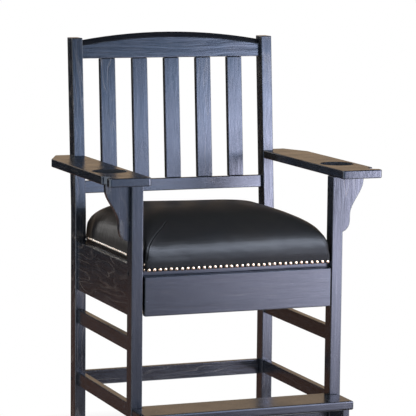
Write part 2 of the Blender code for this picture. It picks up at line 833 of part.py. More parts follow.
def make_arm_bracket(side):
    points = [(side * x, z) for x, z in arm_bracket_outline()]
    slab(side_name("arm_bracket", side), points, ARM_BRACKET_SETBACK, ARM_BRACKET_THICKNESS, "xz")


def make_seat_board():
    """The panel between the aprons, notched round the legs and posts."""
    half = APRON_INNER - FIT
    front_half = LEG_INNER - SEAT_SIDE_GAP
    rear_half = POST_INNER - SEAT_SIDE_GAP
    front = SKIRT_THICKNESS - SEAT_PROUD + FIT
    leg_line = LEG_DEPTH + SEAT_LEG_GAP
    post_line = POST_FRONT - SEAT_LEG_GAP
    right = [
        (front_half, front),
        (front_half, leg_line),
        (half, leg_line),
        (half, post_line),
        (rear_half, post_line),
        (rear_half, SEAT_BACK),
    ]
    points = right + [(-x, y) for x, y in reversed(right)]
    slab("seat_board", points, BOARD_BOTTOM, SEAT_BOARD_THICKNESS, "xy", finish="inner_wood", edge=0)


def cushion_ring(inset_share, height_share):
    """The cushion's outline at one level, as points and their middle: round corners, sides that draw in."""
    half_depth = (SEAT_BACK + SEAT_PROUD) / 2
    front_share = inset_share + CUSHION_FRONT_ROLL * math.sqrt(inset_share) * (1 - inset_share)
    half_x = SEAT_HALF * (1 - inset_share)
    half_y = half_depth * (1 - (inset_share + front_share) / 2)
    middle = (SEAT_BACK - SEAT_PROUD + half_depth * (front_share - inset_share)) / 2
    radius = CUSHION_CORNER_RADIUS + CUSHION_CORNER_GROWTH * inset_share * half_depth
    radius = min(radius, half_x * CORNER_MOST_SHARE, half_y * CORNER_MOST_SHARE)
    points = []
    for quarter, (sx, sy) in enumerate(((1, 1), (-1, 1), (-1, -1), (1, -1))):
        start = quarter * 90
        corner = (sx * (half_x - radius), sy * (half_y - radius))
        points += arc(corner, radius, start, start + 90, CUSHION_CORNER_STEPS)
        if quarter % 2:
            ahead = (sx * half_x, -sy * (half_y - radius))
        else:
            ahead = (-sx * (half_x - radius), sy * half_y)
        last = points[-1]
        for i in range(1, CUSHION_SIDE_STEPS):
            share = i / CUSHION_SIDE_STEPS
            points.append(tuple(last[k] + (ahead[k] - last[k]) * share for k in range(2)))
    draw = CUSHION_DRAW_IN * math.sin(math.pi * height_share) ** 2
    level = APRON_TOP + FIT + height_share * CUSHION_HEIGHT
    ring = []
    for x, y in points:
        x_share = x / half_x
        y_share = y / half_y
        x -= draw * max(0, 1 - y_share**2) * x_share**3
        y -= draw * max(0, 1 - x_share**2) * y_share**3
        ring.append((x, y + middle, level))
    return ring, middle


def make_cushion():
    """A crowned block of rings, notched at its corners, with a skirt in front of the rail."""
    base = APRON_TOP + FIT
    top = base + CUSHION_HEIGHT
    bm = bmesh.new()
    rings = []
    for inset_share, height_share in CUSHION_PROFILE_SHARES:
        ring, middle = cushion_ring(inset_share, height_share)
        rings.append([bm.verts.new(point) for point in ring])
    crown = bm.verts.new((0, middle, top))
    bm.faces.new(reversed(rings[0]))
    for lower, upper in zip(rings, rings[1:]):
        for i in range(len(lower)):
            j = (i + 1) % len(lower)
            bm.faces.new((lower[i], lower[j], upper[j], upper[i]))
    for i in range(len(rings[-1])):
        j = (i + 1) % len(rings[-1])
        bm.faces.new((rings[-1][i], rings[-1][j], crown))
    bmesh.ops.triangulate(bm, faces=bm.faces)
    cushion = settle("seat_cushion", finished_mesh(bm, "seat_cushion"), "leather")
    cushion.data.shade_smooth()
    clear = SEAT_HALF + OVERRUN
    notches = []
    for side in (-1, 1):
        for half, front, back in (
            (SEAT_FRONT_HALF, -SEAT_PROUD - OVERRUN, LEG_DEPTH + SEAT_LEG_GAP),
            (SEAT_REAR_HALF, POST_FRONT - SEAT_POST_GAP, SEAT_BACK + OVERRUN),
        ):
            low = (min(side * half, side * clear), front, base - OVERRUN)
            high = (max(side * half, side * clear), back, top)
            notches.append((low, high))
    cut(cushion, boxes_cutter("cushion_notches", notches))
    skirt_half = SEAT_FRONT_HALF - FIT
    skirt_low = (-skirt_half, -SEAT_PROUD, base - SKIRT_DROP)
    skirt_high = (skirt_half, -SEAT_PROUD + SKIRT_THICKNESS, base + SKIRT_LAP)
    join(cushion, boxes_cutter("cushion_skirt", [(skirt_low, skirt_high)]))


def add_dome(bm, base, out, up):
    """A domed nail head on its base point, between the outward direction and the one along its upright."""
    across = out.cross(up)
    rings = []
    for i in range(NAIL_RINGS):
        rise = math.radians(90) * i / NAIL_RINGS
        ring = []
        for j in range(NAIL_SEGMENTS):
            turn = math.radians(360) * (j + 0.5) / NAIL_SEGMENTS
            spoke = across * math.cos(turn) + up * math.sin(turn)
            point = base + spoke * NAIL_RADIUS * math.cos(rise) + out * NAIL_HEIGHT * math.sin(rise)
            ring.append(bm.verts.new(point))
        rings.append(ring)
    tip = bm.verts.new(base + out * NAIL_HEIGHT)
    bm.faces.new(rings[0])
    for j in range(NAIL_SEGMENTS):
        k = (j + 1) % NAIL_SEGMENTS
        for lower, upper in zip(rings, rings[1:]):
            bm.faces.new((lower[j], lower[k], upper[k], upper[j]))
        bm.faces.new((rings[-1][j], rings[-1][k], tip))


def nail_row(name, start, end, level, face, out):
    """Domed heads at an even pitch on a thin strip, against a face of the cushion."""
    up = Vector((0, 0, 1))
    along = Vector((abs(out.y), abs(out.x), 0))
    count = round((end - start) / NAIL_PITCH) + 1
    pitch = (end - start) / (count - 1)
    foot = out * (face + FIT) + up * level
    bm = bmesh.new()
    for i in range(count):
        add_dome(bm, foot + out * NAIL_BAND_THICKNESS / 2 + along * (start + pitch * i), out, up)
    heads = settle(name + "_heads", finished_mesh(bm, name), None)
    half = up * NAIL_BAND_HEIGHT / 2
    one = foot - half + along * (start - NAIL_BAND_MARGIN)
    other = foot + half + along * (end + NAIL_BAND_MARGIN) + out * NAIL_BAND_THICKNESS
    low = [min(one[i], other[i]) for i in range(3)]
    high = [max(one[i], other[i]) for i in range(3)]
    join(board(name, low, high, "brass", edge=0), heads)


def make_nail_trim():
    base = APRON_TOP + FIT
    half = SEAT_FRONT_HALF - NAIL_END_MARGIN
    front = Vector((0, -1, 0))
    nail_row("nailhead_trim_front", -half, half, base - SKIRT_DROP + NAIL_RISE, SEAT_PROUD, front)
    start = LEG_DEPTH + SEAT_LEG_GAP + NAIL_SIDE_MARGIN
    end = POST_FRONT - SEAT_POST_GAP - NAIL_SIDE_MARGIN
    for side in (-1, 1):
        name = side_name("nailhead_trim", side)
        nail_row(name, start, end, base + NAIL_SIDE_RISE, SEAT_HALF, Vector((side, 0, 0)))


def make_drawer():
    """The drawer slides out toward the front on its runners."""
    front_half = LEG_INNER - DRAWER_SIDE_GAP
    box_inner = DRAWER_BOX_HALF - DRAWER_WALL
    low = (-front_half, -DRAWER_PROUD, DRAWER_FRONT_BOTTOM)
    high = (front_half, DRAWER_FRONT_THICKNESS - DRAWER_PROUD, DRAWER_FRONT_TOP)
    board("drawer_front", low, high, drawer=True)
    for side in (-1, 1):
        side_board(
            side_name("drawer_side", side),
            side,
            box_inner,
            DRAWER_BOX_HALF,
            DRAWER_BOX_FRONT,
            DRAWER_BOX_BACK,
            DRAWER_BOX_BOTTOM,
            DRAWER_BOX_TOP,
            finish="inner_wood",
            edge=0,
            drawer=True,
        )
    half = box_inner - FIT
    back_face = DRAWER_BOX_BACK - DRAWER_WALL
    low = (-half, back_face, DRAWER_BOX_BOTTOM)
    high = (half, DRAWER_BOX_BACK, DRAWER_BOX_TOP)
    board("drawer_back", low, high, "inner_wood", 0, True)
    floor = DRAWER_BOX_BOTTOM + DRAWER_BOTTOM_RISE
    low = (-half, DRAWER_BOX_FRONT, floor)
    high = (half, back_face - FIT, floor + DRAWER_BOTTOM_THICKNESS)
    board("drawer_bottom", low, high, "inner_wood", 0, True)


def make_runners():
    for side in (-1, 1):
        side_board(
            side_name("drawer_runner", side),
            side,
            APRON_INNER - FIT - RUNNER_WIDTH,
            APRON_INNER - FIT,
            LEG_DEPTH + FIT,
            POST_FRONT - FIT,
            DRAWER_FRONT_BOTTOM,
            DRAWER_FRONT_BOTTOM + RUNNER_HEIGHT,
            finish="inner_wood",
            edge=0,
        )


def make_corner_blocks():
    """Triangular blocks in the corners of the seat frame, under the seat board."""
    top = BOARD_BOTTOM - FIT
    for side in (-1, 1):
        wall = side * (APRON_INNER - FIT)
        for stem, corner, turn, thickness in (
            ("front_corner_block", LEG_DEPTH + FIT, 1, BLOCK_FRONT_THICKNESS),
            ("rear_corner_block", REAR_RAIL_FRONT - FIT, -1, BLOCK_REAR_THICKNESS),
        ):
            points = [(wall, corner), (wall - side * BLOCK_LEG, corner), (wall, corner + turn * BLOCK_LEG)]
            if turn < 0:
                notch = POST_FRONT - FIT
                inner = side * (POST_INNER - FIT)
                points = [
                    (inner, corner),
                    (inner, notch),
                    (wall, notch),
                    (wall, notch - BLOCK_LEG),
                    (inner - side * BLOCK_LEG, corner),
                ]
            slab(side_name(stem, side), points, top - thickness, thickness, "xy", finish="inner_wood", edge=0)


def bolt_line():
    """Each bolt's name stem, its depth behind the front and its level, on the outer faces."""
    crest_middle = CREST_BASE + (CREST_FACE_HEIGHT - CREST_ARCH_RISE) / 2 - BEND_HEIGHT
    rail_middle = BACK_RAIL_BASE + BACK_RAIL_HEIGHT / 2 - BEND_HEIGHT
    seat_rail_top = BOARD_BOTTOM - FIT
    return {
        "crest_bolt": reclined(CREST_RECESS + CREST_THICKNESS / 2, crest_middle),
        "back_rail_bolt": reclined(BACK_RAIL_RECESS + BACK_RAIL_THICKNESS / 2, rail_middle),
        "seat_rail_bolt": (REAR_RAIL_FRONT + REAR_RAIL_THICKNESS / 2, seat_rail_top - REAR_RAIL_HEIGHT / 2),
        "rear_stretcher_bolt": (
            POST_FRONT + REAR_STRETCHER_RECESS + REAR_STRETCHER_THICKNESS / 2,
            REAR_STRETCHER_TOP - REAR_STRETCHER_HEIGHT / 2,
        ),
        "front_rail_bolt": (
            FRONT_RAIL_RECESS + FRONT_RAIL_THICKNESS / 2,
            (FRONT_RAIL_TOP + FRONT_RAIL_BOTTOM) / 2,
        ),
    }


def build():
    holes = {}
    for stem, (depth, level) in bolt_line().items():
        holes[stem] = {}
        for side in (-1, 1):
            make_bolt(side_name(stem, side), side, depth, level)
            holes[stem][side] = make_bolt_hole(side_name(stem + "_hole", side), side, depth, level)
    post_stems = [stem for stem in holes if stem != "front_rail_bolt"]
    for side in (-1, 1):
        make_leg(side, [holes["front_rail_bolt"][side]])
        make_post(side, [holes[stem][side] for stem in post_stems])
        for stem, inner, outer, bottom, top in SIDE_MEMBERS:
            make_side_member(stem, side, inner, outer, bottom, top)
        make_foot_bracket(side)
        make_arm(side)
        make_arm_bracket(side)
    make_glides()
    mortises = make_slat_mortises()
    make_crest(holes["crest_bolt"].values(), mortises)
    make_back_rail(holes["back_rail_bolt"].values(), mortises)
    make_slats()
    seat_rail_top = BOARD_BOTTOM - FIT
    make_cross_rail(
        "rear_seat_rail",
        POST_INNER - FIT,
        REAR_RAIL_FRONT,
        REAR_RAIL_THICKNESS,
        seat_rail_top - REAR_RAIL_HEIGHT,
        seat_rail_top,
        holes["seat_rail_bolt"].values(),
    )
    make_cross_rail(
        "rear_stretcher",
        POST_INNER - FIT,
        POST_FRONT + REAR_STRETCHER_RECESS,
        REAR_STRETCHER_THICKNESS,
        REAR_STRETCHER_TOP - REAR_STRETCHER_HEIGHT,
        REAR_STRETCHER_TOP,
        holes["rear_stretcher_bolt"].values(),
    )
    make_cross_rail(
        "front_top_rail",
        LEG_INNER - FIT,
        FRONT_RAIL_RECESS,
        FRONT_RAIL_THICKNESS,
        FRONT_RAIL_BOTTOM,
        FRONT_RAIL_TOP,
        holes["front_rail_bolt"].values(),
    )
    stretcher_top = FOOTREST_TOP - FOOTREST_THICKNESS - FIT
    make_cross_rail(
        "front_stretcher",
        LEG_INNER - FIT,
        FRONT_STRETCHER_RECESS,
        FRONT_STRETCHER_THICKNESS,
        stretcher_top - FRONT_STRETCHER_HEIGHT,
        stretcher_top,
    )
    make_footrest()
    make_seat_board()
    make_cushion()
    make_nail_trim()
    make_drawer()
    make_runners()
    make_corner_blocks()


build()
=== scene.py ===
import bisect
import json
import math
import random

import bmesh
import bpy
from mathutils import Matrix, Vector, noise
from mathutils.bvhtree import BVHTree
from mathutils.kdtree import KDTree


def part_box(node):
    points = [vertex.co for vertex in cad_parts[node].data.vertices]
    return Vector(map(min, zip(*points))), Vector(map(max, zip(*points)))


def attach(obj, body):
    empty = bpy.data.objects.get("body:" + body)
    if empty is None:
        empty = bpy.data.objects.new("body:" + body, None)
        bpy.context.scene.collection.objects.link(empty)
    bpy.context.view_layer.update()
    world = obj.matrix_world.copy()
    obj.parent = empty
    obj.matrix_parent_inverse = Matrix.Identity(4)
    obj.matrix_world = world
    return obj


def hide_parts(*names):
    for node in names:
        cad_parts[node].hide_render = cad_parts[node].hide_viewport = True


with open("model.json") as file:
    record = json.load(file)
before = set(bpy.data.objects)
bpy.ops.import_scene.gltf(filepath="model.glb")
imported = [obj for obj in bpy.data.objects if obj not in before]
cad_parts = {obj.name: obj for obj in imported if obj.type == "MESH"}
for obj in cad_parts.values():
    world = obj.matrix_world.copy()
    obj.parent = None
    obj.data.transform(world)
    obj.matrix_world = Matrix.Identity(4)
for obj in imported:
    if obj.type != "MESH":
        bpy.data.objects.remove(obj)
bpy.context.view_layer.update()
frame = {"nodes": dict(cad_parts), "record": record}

NODES = frame["nodes"]
BODY = "chair_frame"

# Camera: place in metres, turns in radians, focal length in pixels
CAMERA_PLACE = Vector((-2.2047, -5.6733, 1.5895))
CAMERA_YAW = 0.370673
CAMERA_PITCH = 0.128620
CAMERA_ROLL = 0.010055
FOCAL_PIXELS = 2277.77
FRAME_PIXELS = 416
SENSOR_MM = 36.0
CLIP_END = 100


def make_camera():
    data = bpy.data.cameras.new("photo_camera")
    data.sensor_fit = "HORIZONTAL"
    data.sensor_width = SENSOR_MM
    data.lens = FOCAL_PIXELS * SENSOR_MM / FRAME_PIXELS
    data.clip_end = CLIP_END
    camera = bpy.data.objects.new("photo_camera", data)
    bpy.context.scene.collection.objects.link(camera)
    level = math.cos(CAMERA_PITCH)
    aside, ahead = math.sin(CAMERA_YAW), math.cos(CAMERA_YAW)
    forward = Vector((aside * level, ahead * level, -math.sin(CAMERA_PITCH)))
    flat_right = Vector((ahead, -aside, 0))
    flat_up = flat_right.cross(forward)
    right = flat_right * math.cos(CAMERA_ROLL) + flat_up * math.sin(CAMERA_ROLL)
    up = flat_up * math.cos(CAMERA_ROLL) - flat_right * math.sin(CAMERA_ROLL)
    matrix = camera.matrix_world.to_3x3()
    for i in range(3):
        matrix[i][0] = right[i]
        matrix[i][1] = up[i]
        matrix[i][2] = -forward[i]
    camera.matrix_world = matrix.to_4x4()
    camera.location = CAMERA_PLACE
    bpy.context.scene.camera = camera


# The mix node's sockets in its colour mode, where several share a name
MIX_ONE, MIX_OTHER, MIX_RESULT = 6, 7, 2
BEVEL_SAMPLES = 4
# Cosine of the rounded normal's turn off the face, where the wear begins and where it is full
WEAR_TURN = (0.985, 0.80)
RECESS_BLEND = 0.0003


class Nodes:
    """One node tree, emptied, with short calls for the nodes that it needs."""

    def __init__(self, tree):
        tree.nodes.clear()
        self.tree = tree
        self.place = None

    def new(self, kind):
        return self.tree.nodes.new(kind)

    def link(self, source, target):
        self.tree.links.new(source, target)

    def feed(self, socket, value):
        """Links another node's socket, or sets a plain value."""
        if isinstance(value, bpy.types.NodeSocket):
            self.link(value, socket)
        else:
            socket.default_value = value

    def place_here(self):
        """Lets the calls without a place of their own start from the object's coordinates."""
        self.place = self.new("ShaderNodeTexCoord").outputs["Object"]

    def mapped(self, location=(0, 0, 0), scale=(1, 1, 1), place=None, kind="POINT"):
        node = self.new("ShaderNodeMapping")
        node.vector_type = kind
        self.link(place or self.place, node.inputs["Vector"])
        node.inputs["Location"].default_value = location
        node.inputs["Scale"].default_value = scale
        return node.outputs["Vector"]

    def noise(self, scale, detail=3.0, rough=0.55, place=None, output="Fac"):
        node = self.new("ShaderNodeTexNoise")
        self.link(place or self.place, node.inputs["Vector"])
        node.inputs["Scale"].default_value = scale
        node.inputs["Detail"].default_value = detail
        node.inputs["Roughness"].default_value = rough
        return node.outputs[output]

    def cells(self, scale, feature, place=None):
        node = self.new("ShaderNodeTexVoronoi")
        node.feature = feature
        self.link(place or self.place, node.inputs["Vector"])
        node.inputs["Scale"].default_value = scale
        return node.outputs["Distance"]

    def remap(self, value, low, high, to_low=0.0, to_high=1.0):
        node = self.new("ShaderNodeMapRange")
        node.clamp = True
        self.link(value, node.inputs["Value"])
        limits = {"From Min": low, "From Max": high, "To Min": to_low, "To Max": to_high}
        for name, number in limits.items():
            node.inputs[name].default_value = number
        return node.outputs["Result"]

    def math(self, operation, one, other):
        node = self.new("ShaderNodeMath")
        node.operation = operation
        for socket, value in zip(node.inputs, (one, other)):
            self.feed(socket, value)
        return node.outputs[0]

    def vector(self, operation, *values, output="Vector"):
        node = self.new("ShaderNodeVectorMath")
        node.operation = operation
        for socket, value in zip(node.inputs, values):
            self.feed(socket, value)
        return node.outputs[output]

    def mix(self, share, one, other):
        """A mix of two colours; a plain colour has three numbers."""
        node = self.new("ShaderNodeMix")
        node.data_type = "RGBA"
        self.feed(node.inputs[0], share)
        for index, value in ((MIX_ONE, one), (MIX_OTHER, other)):
            linked = isinstance(value, bpy.types.NodeSocket)
            self.feed(node.inputs[index], value if linked else (*value, 1.0))
        return node.outputs[MIX_RESULT]

    def bump(self, height, strength, distance, normal=None):
        node = self.new("ShaderNodeBump")
        node.inputs["Strength"].default_value = strength
        node.inputs["Distance"].default_value = distance
        self.link(height, node.inputs["Height"])
        if normal:
            self.link(normal, node.inputs["Normal"])
        return node.outputs["Normal"]

    def rounded(self, radius):
        node = self.new("ShaderNodeBevel")
        node.samples = BEVEL_SAMPLES
        node.inputs["Radius"].default_value = radius
        return node.outputs["Normal"]

    def edges(self, rounded):
        """1 along the edges and 0 on the faces."""
        normal = self.new("ShaderNodeNewGeometry").outputs["Normal"]
        return self.remap(self.vector("DOT_PRODUCT", normal, rounded, output="Value"), *WEAR_TURN)

    def within(self, centre, radius):
        """1 inside an upright cylinder and 0 outside it."""
        place = self.new("ShaderNodeNewGeometry").outputs["Position"]
        flat = self.vector("MULTIPLY", place, (1, 1, 0))
        away = self.vector("DISTANCE", flat, (centre[0], centre[1], 0), output="Value")
        return self.remap(away, radius, radius - RECESS_BLEND)


class Shader(Nodes):
    """A material with one principled surface."""

    def __init__(self, name):
        self.material = bpy.data.materials.new(name)
        self.material.use_nodes = True
        super().__init__(self.material.node_tree)
        self.output = self.new("ShaderNodeOutputMaterial")
        self.surface = self.new("ShaderNodeBsdfPrincipled")
        self.link(self.surface.outputs["BSDF"], self.output.inputs["Surface"])
        self.place_here()

    def finish(self, **inputs):
        for name, value in inputs.items():
            self.feed(self.surface.inputs[name.replace("_", " ")], value)
        return self.material


# Wood: colours of the dark ground, its lighter bands, its marks and its worn edges, which are
# lighter both as wear and as a painted edge highlight;
# the lowest and highest roughness; how much the pores and the growth lines count
BLACK_LACQUER = {
    "ground": (0.010, 0.013, 0.020),
    "band": (0.018, 0.023, 0.034),
    "streak": (0.31, 0.275, 0.245),
    "edge": (0.070, 0.058, 0.050),
    "rough": (0.17, 0.27),
    "streak_share": 0.10,
    "line_share": 0.34,
    "tint": (0.76, 0.86, 1.0, 1.0),
    "gloss": 0.70,
    "ior": 2.0,
}
PALE_TIMBER = {
    "ground": (0.50, 0.35, 0.21),
    "band": (0.62, 0.46, 0.29),
    "streak": (0.33, 0.21, 0.12),
    "edge": (0.66, 0.52, 0.36),
    "rough": (0.50, 0.70),
    "streak_share": 0.55,
    "line_share": 0.50,
    "tint": (1.0, 1.0, 1.0, 1.0),
    "gloss": 0.40,
    "ior": 1.5,
}
STAINED_BOARD = {
    "ground": (0.045, 0.033, 0.025),
    "band": (0.070, 0.052, 0.038),
    "streak": (0.028, 0.020, 0.015),
    "edge": (0.10, 0.075, 0.055),
    "rough": (0.55, 0.72),
    "streak_share": 0.5,
    "line_share": 0.4,
    "tint": (1.0, 1.0, 1.0, 1.0),
    "gloss": 0.35,
    "ior": 1.5,
}
# In the cup recesses the lacquer is plain and dull, and its colour is darkened as painted shade
RECESS_SHADE_COLOUR = (0.004, 0.004, 0.005)
RECESS_ROUGH = 0.85
RECESS_RADIUS = 0.0455
# Noises as scale per metre, detail and roughness
SWAY_NOISE = (5.5, 2.0, 0.5)
BAND_NOISE = (95.0, 4.0, 0.6)
FIBRE_NOISE = (520.0, 3.0, 0.6)
PORE_NOISE = (310.0, 2.0, 0.5)
GROWTH_NOISE = (15.0, 2.5, 0.45)
LINE_NOISE = (7.0, 2.0)
WEAR_NOISE = (38.0, 4.0, 0.65)
GLOSS_NOISE = (16.0, 3.0)
# Ranges of a noise, from none to all or with the two levels that they run between
PORE_RANGE = (0.585, 0.70)
RING_RANGE = (0.36, 0.5)
LINE_RANGE = (0.40, 0.62, 0.40, 1.0)
BREAK_RANGE = (0.35, 0.60, 0.55, 1.0)
WEAR_RANGE = (0.38, 0.62)
BAND_RANGE = (0.35, 0.65)
BAND_RELIEF_RANGE = (0.32, 0.68)
GLOSS_RANGE = (0.3, 0.7)
FAINT_LINES = 0.16
LINED_RINGS = 11.0
PLAIN_RINGS = 16.0
RING_WIDTH = 0.5
# Scale along the fibres, as a share of the scale across them
FIBRE_STRETCH = 0.045
GROWTH_STRETCH = 0.17
SWAY_SIZE = 0.020
EDGE_RADIUS = 0.0011
WEAR_AND_HIGHLIGHT_SHARE = 0.16
MARK_ROUGH = 0.12
FIBRE_HEIGHT, MARK_DEPTH = 0.45, 1.1
WOOD_BUMP = (0.34, 0.0006)


def along(axis, share):
    scale = [1.0, 1.0, 1.0]
    scale[axis] = share
    return scale


def make_wood(name, axis, look, offset, lined, recess=None):
    """Open-grained wood whose fibres run along one axis, with the growth lines strong or faint.

    In a recess, given by its centre and radius, the lacquer is plain and dull, and its colour is
    darkened as painted shade.
    """
    shader = Shader(name)
    shifted = shader.mapped(location=offset)
    sway = shader.noise(*SWAY_NOISE, shifted, "Color")
    swayed = shader.vector("MULTIPLY_ADD", sway, (SWAY_SIZE,) * 3, shifted)
    grain = shader.mapped(scale=along(axis, FIBRE_STRETCH), place=swayed)
    bands = shader.noise(*BAND_NOISE, grain)
    fibres = shader.noise(*FIBRE_NOISE, grain)
    streaks = shader.remap(shader.noise(*PORE_NOISE, grain), *PORE_RANGE)
    wide = shader.mapped(scale=along(axis, GROWTH_STRETCH), place=swayed)
    growth = shader.math(
        "MULTIPLY", shader.noise(*GROWTH_NOISE, wide), LINED_RINGS if lined else PLAIN_RINGS
    )
    rings = shader.math("PINGPONG", growth, RING_WIDTH)
    rings = shader.remap(rings, *RING_RANGE)
    where = shader.remap(shader.noise(*LINE_NOISE), *LINE_RANGE)
    broken = shader.remap(fibres, *BREAK_RANGE)
    lines = shader.math("MULTIPLY", shader.math("MULTIPLY", rings, where), broken)
    marks = shader.math(
        "MAXIMUM",
        shader.math("MULTIPLY", streaks, look["streak_share"]),
        shader.math("MULTIPLY", lines, look["line_share"] * (1.0 if lined else FAINT_LINES)),
    )
    rounded = shader.rounded(EDGE_RADIUS)
    rubbed = shader.remap(shader.noise(*WEAR_NOISE), *WEAR_RANGE)
    # The lighter edges are wear and also a painted highlight along the edges
    worn = shader.math("MULTIPLY", shader.edges(rounded), rubbed)
    colour = shader.mix(shader.remap(bands, *BAND_RANGE), look["ground"], look["band"])
    colour = shader.mix(marks, colour, look["streak"])
    colour = shader.mix(shader.math("MULTIPLY", worn, WEAR_AND_HIGHLIGHT_SHARE), colour, look["edge"])
    patches = shader.remap(shader.noise(*GLOSS_NOISE), *GLOSS_RANGE, *look["rough"])
    rough = shader.math("ADD", patches, shader.math("MULTIPLY", marks, MARK_ROUGH))
    fibre_height = shader.math("MULTIPLY", fibres, FIBRE_HEIGHT)
    height = shader.math("SUBTRACT", fibre_height, shader.math("MULTIPLY", marks, MARK_DEPTH))
    height = shader.math("ADD", height, shader.remap(bands, *BAND_RELIEF_RANGE))
    if recess:
        inside = shader.within(*recess)
        # Painted shade: the colour inside the cup recess is darkened
        colour = shader.mix(inside, colour, RECESS_SHADE_COLOUR)
        rough = shader.math("MAXIMUM", rough, shader.math("MULTIPLY", inside, RECESS_ROUGH))
        height = shader.math("MULTIPLY", height, shader.math("SUBTRACT", 1.0, inside))
    return shader.finish(
        Base_Color=colour,
        Roughness=rough,
        Normal=shader.bump(height, *WOOD_BUMP, rounded),
        Specular_Tint=look["tint"],
        Specular_IOR_Level=look["gloss"],
        IOR=look["ior"],
    )


# Leather
PEBBLE_SCALE = 620.0
CREASE_SCALE = 150.0
CREASE_STRETCH = (1.0, 1.0, 0.7)
CREASE_WIDTH = 0.05
# Colour of the creases, darker than the hide as painted shade
CREASE_SHADE_COLOUR = (0.008, 0.008, 0.009)
CREASE_SHARE = 0.35
CLOUD_NOISE = (9.0, 4.0, 0.6)
CLOUD_RANGE = (0.32, 0.68)
CLOUD_ROUGH = (0.3, 0.7, 0.43, 0.36)
DIMPLE_NOISE = (170.0, 3.0, 0.6)
HIDE_NOISE = (900.0, 2.0)
HIDE_ROUGH = 0.08
HIDE_DARK = (0.007, 0.007, 0.0075)
HIDE_LIGHT = (0.014, 0.013, 0.0125)
PEBBLE_HEIGHT, CREASE_HEIGHT, CLOUD_HEIGHT = -0.6, -0.5, 1.5
HIDE_BUMP = (0.35, 0.0006)
HIDE_FINISH = {
    "Specular_IOR_Level": 0.17,
    "Specular_Tint": (0.82, 0.88, 1.0, 1.0),
    "Sheen_Weight": 0.015,
    "Sheen_Roughness": 0.45,
}


def make_leather():
    """Soft black hide: fine pebbles, shallow creases and slightly uneven gloss."""
    shader = Shader("black_leather_hide")
    pebbles = shader.cells(PEBBLE_SCALE, "SMOOTH_F1")
    creases = shader.cells(CREASE_SCALE, "DISTANCE_TO_EDGE", shader.mapped(scale=CREASE_STRETCH))
    cloud = shader.noise(*CLOUD_NOISE)
    fine = shader.noise(*HIDE_NOISE)
    colour = shader.mix(shader.remap(cloud, *CLOUD_RANGE), HIDE_DARK, HIDE_LIGHT)
    lines = shader.remap(creases, 0.0, CREASE_WIDTH, 1.0, 0.0)
    # Painted shade: the creases are coloured darker than the hide around them
    colour = shader.mix(shader.math("MULTIPLY", lines, CREASE_SHARE), colour, CREASE_SHADE_COLOUR)
    gloss = shader.remap(cloud, *CLOUD_ROUGH)
    rough = shader.math("ADD", gloss, shader.math("MULTIPLY", fine, HIDE_ROUGH))
    height = shader.math("MULTIPLY", pebbles, PEBBLE_HEIGHT)
    for layer, most in ((lines, CREASE_HEIGHT), (cloud, CLOUD_HEIGHT)):
        height = shader.math("ADD", height, shader.math("MULTIPLY", layer, most))
    height = shader.math("ADD", height, shader.noise(*DIMPLE_NOISE))
    return shader.finish(
        Base_Color=colour,
        Roughness=rough,
        Normal=shader.bump(height, *HIDE_BUMP),
        **HIDE_FINISH,
    )


# Metal: clean and tarnished colour, lowest and highest roughness, scale of the tarnish per metre
STEEL = ((0.10, 0.10, 0.11), (0.035, 0.03, 0.028), (0.30, 0.55), 45.0)
BRASS = ((0.86, 0.72, 0.58), (0.58, 0.38, 0.25), (0.13, 0.25), 70.0)
TARNISH_DETAIL = (3.0, 0.6)
TARNISH_RANGE = (0.35, 0.70)
TARNISH_SHARE = 0.7
SCRATCH_NOISE = (1400.0, 2.0)
SCRATCH_ROUGH = 0.08
DENT_NOISE = (260.0, 3.0)
DENT_BUMP = (0.15, 0.0002)


def make_metal(name, bright, dull, rough, spots):
    """Metal with patches of tarnish and fine scratches."""
    shader = Shader(name)
    patches = shader.remap(shader.noise(spots, *TARNISH_DETAIL), *TARNISH_RANGE)
    scratches = shader.math("MULTIPLY", shader.noise(*SCRATCH_NOISE), SCRATCH_ROUGH)
    return shader.finish(
        Base_Color=shader.mix(shader.math("MULTIPLY", patches, TARNISH_SHARE), bright, dull),
        Metallic=1.0,
        Roughness=shader.math("ADD", shader.remap(patches, 0.0, 1.0, *rough), scratches),
        Normal=shader.bump(shader.noise(*DENT_NOISE), *DENT_BUMP),
    )


NYLON_NOISE = (700.0, 3.0)
NYLON_DARK, NYLON_LIGHT = (0.022, 0.022, 0.023), (0.045, 0.045, 0.045)
NYLON_ROUGH = (0.3, 0.7, 0.42, 0.58)
NYLON_BUMP = (0.2, 0.0002)


def make_plastic():
    shader = Shader("nylon_glide")
    speck = shader.noise(*NYLON_NOISE)
    return shader.finish(
        Base_Color=shader.mix(speck, NYLON_DARK, NYLON_LIGHT),
        Roughness=shader.remap(speck, *NYLON_ROUGH),
        Normal=shader.bump(speck, *NYLON_BUMP),
    )


# The axis that the fibres of each node run along, 0 where none is given
FIBRE_AXES = (
    ("front_leg", 2),
    ("rear_post", 2),
    ("back_slat", 2),
    ("arm_bracket", 2),
    ("footrest_bracket", 2),
    ("side_apron", 1),
    ("upper_side_stretcher", 1),
    ("lower_side_stretcher", 1),
    ("arm_left", 1),
    ("arm_right", 1),
    ("drawer_side", 1),
    ("drawer_runner", 1),
)
# Nodes with strong growth lines
LINED_PIECES = (
    "rear_post",
    "back_slat_1",
    "back_slat_4",
    "side_apron",
    "lower_back_rail",
    "arm_bracket",
    "rear_stretcher",
)
WOOD_KINDS = 2
KIND_OFFSET = Vector((0.37, 0.53, 0.71))


def fibre_axis(node):
    for stem, axis in FIBRE_AXES:
        if node.startswith(stem):
            return axis
    return 0


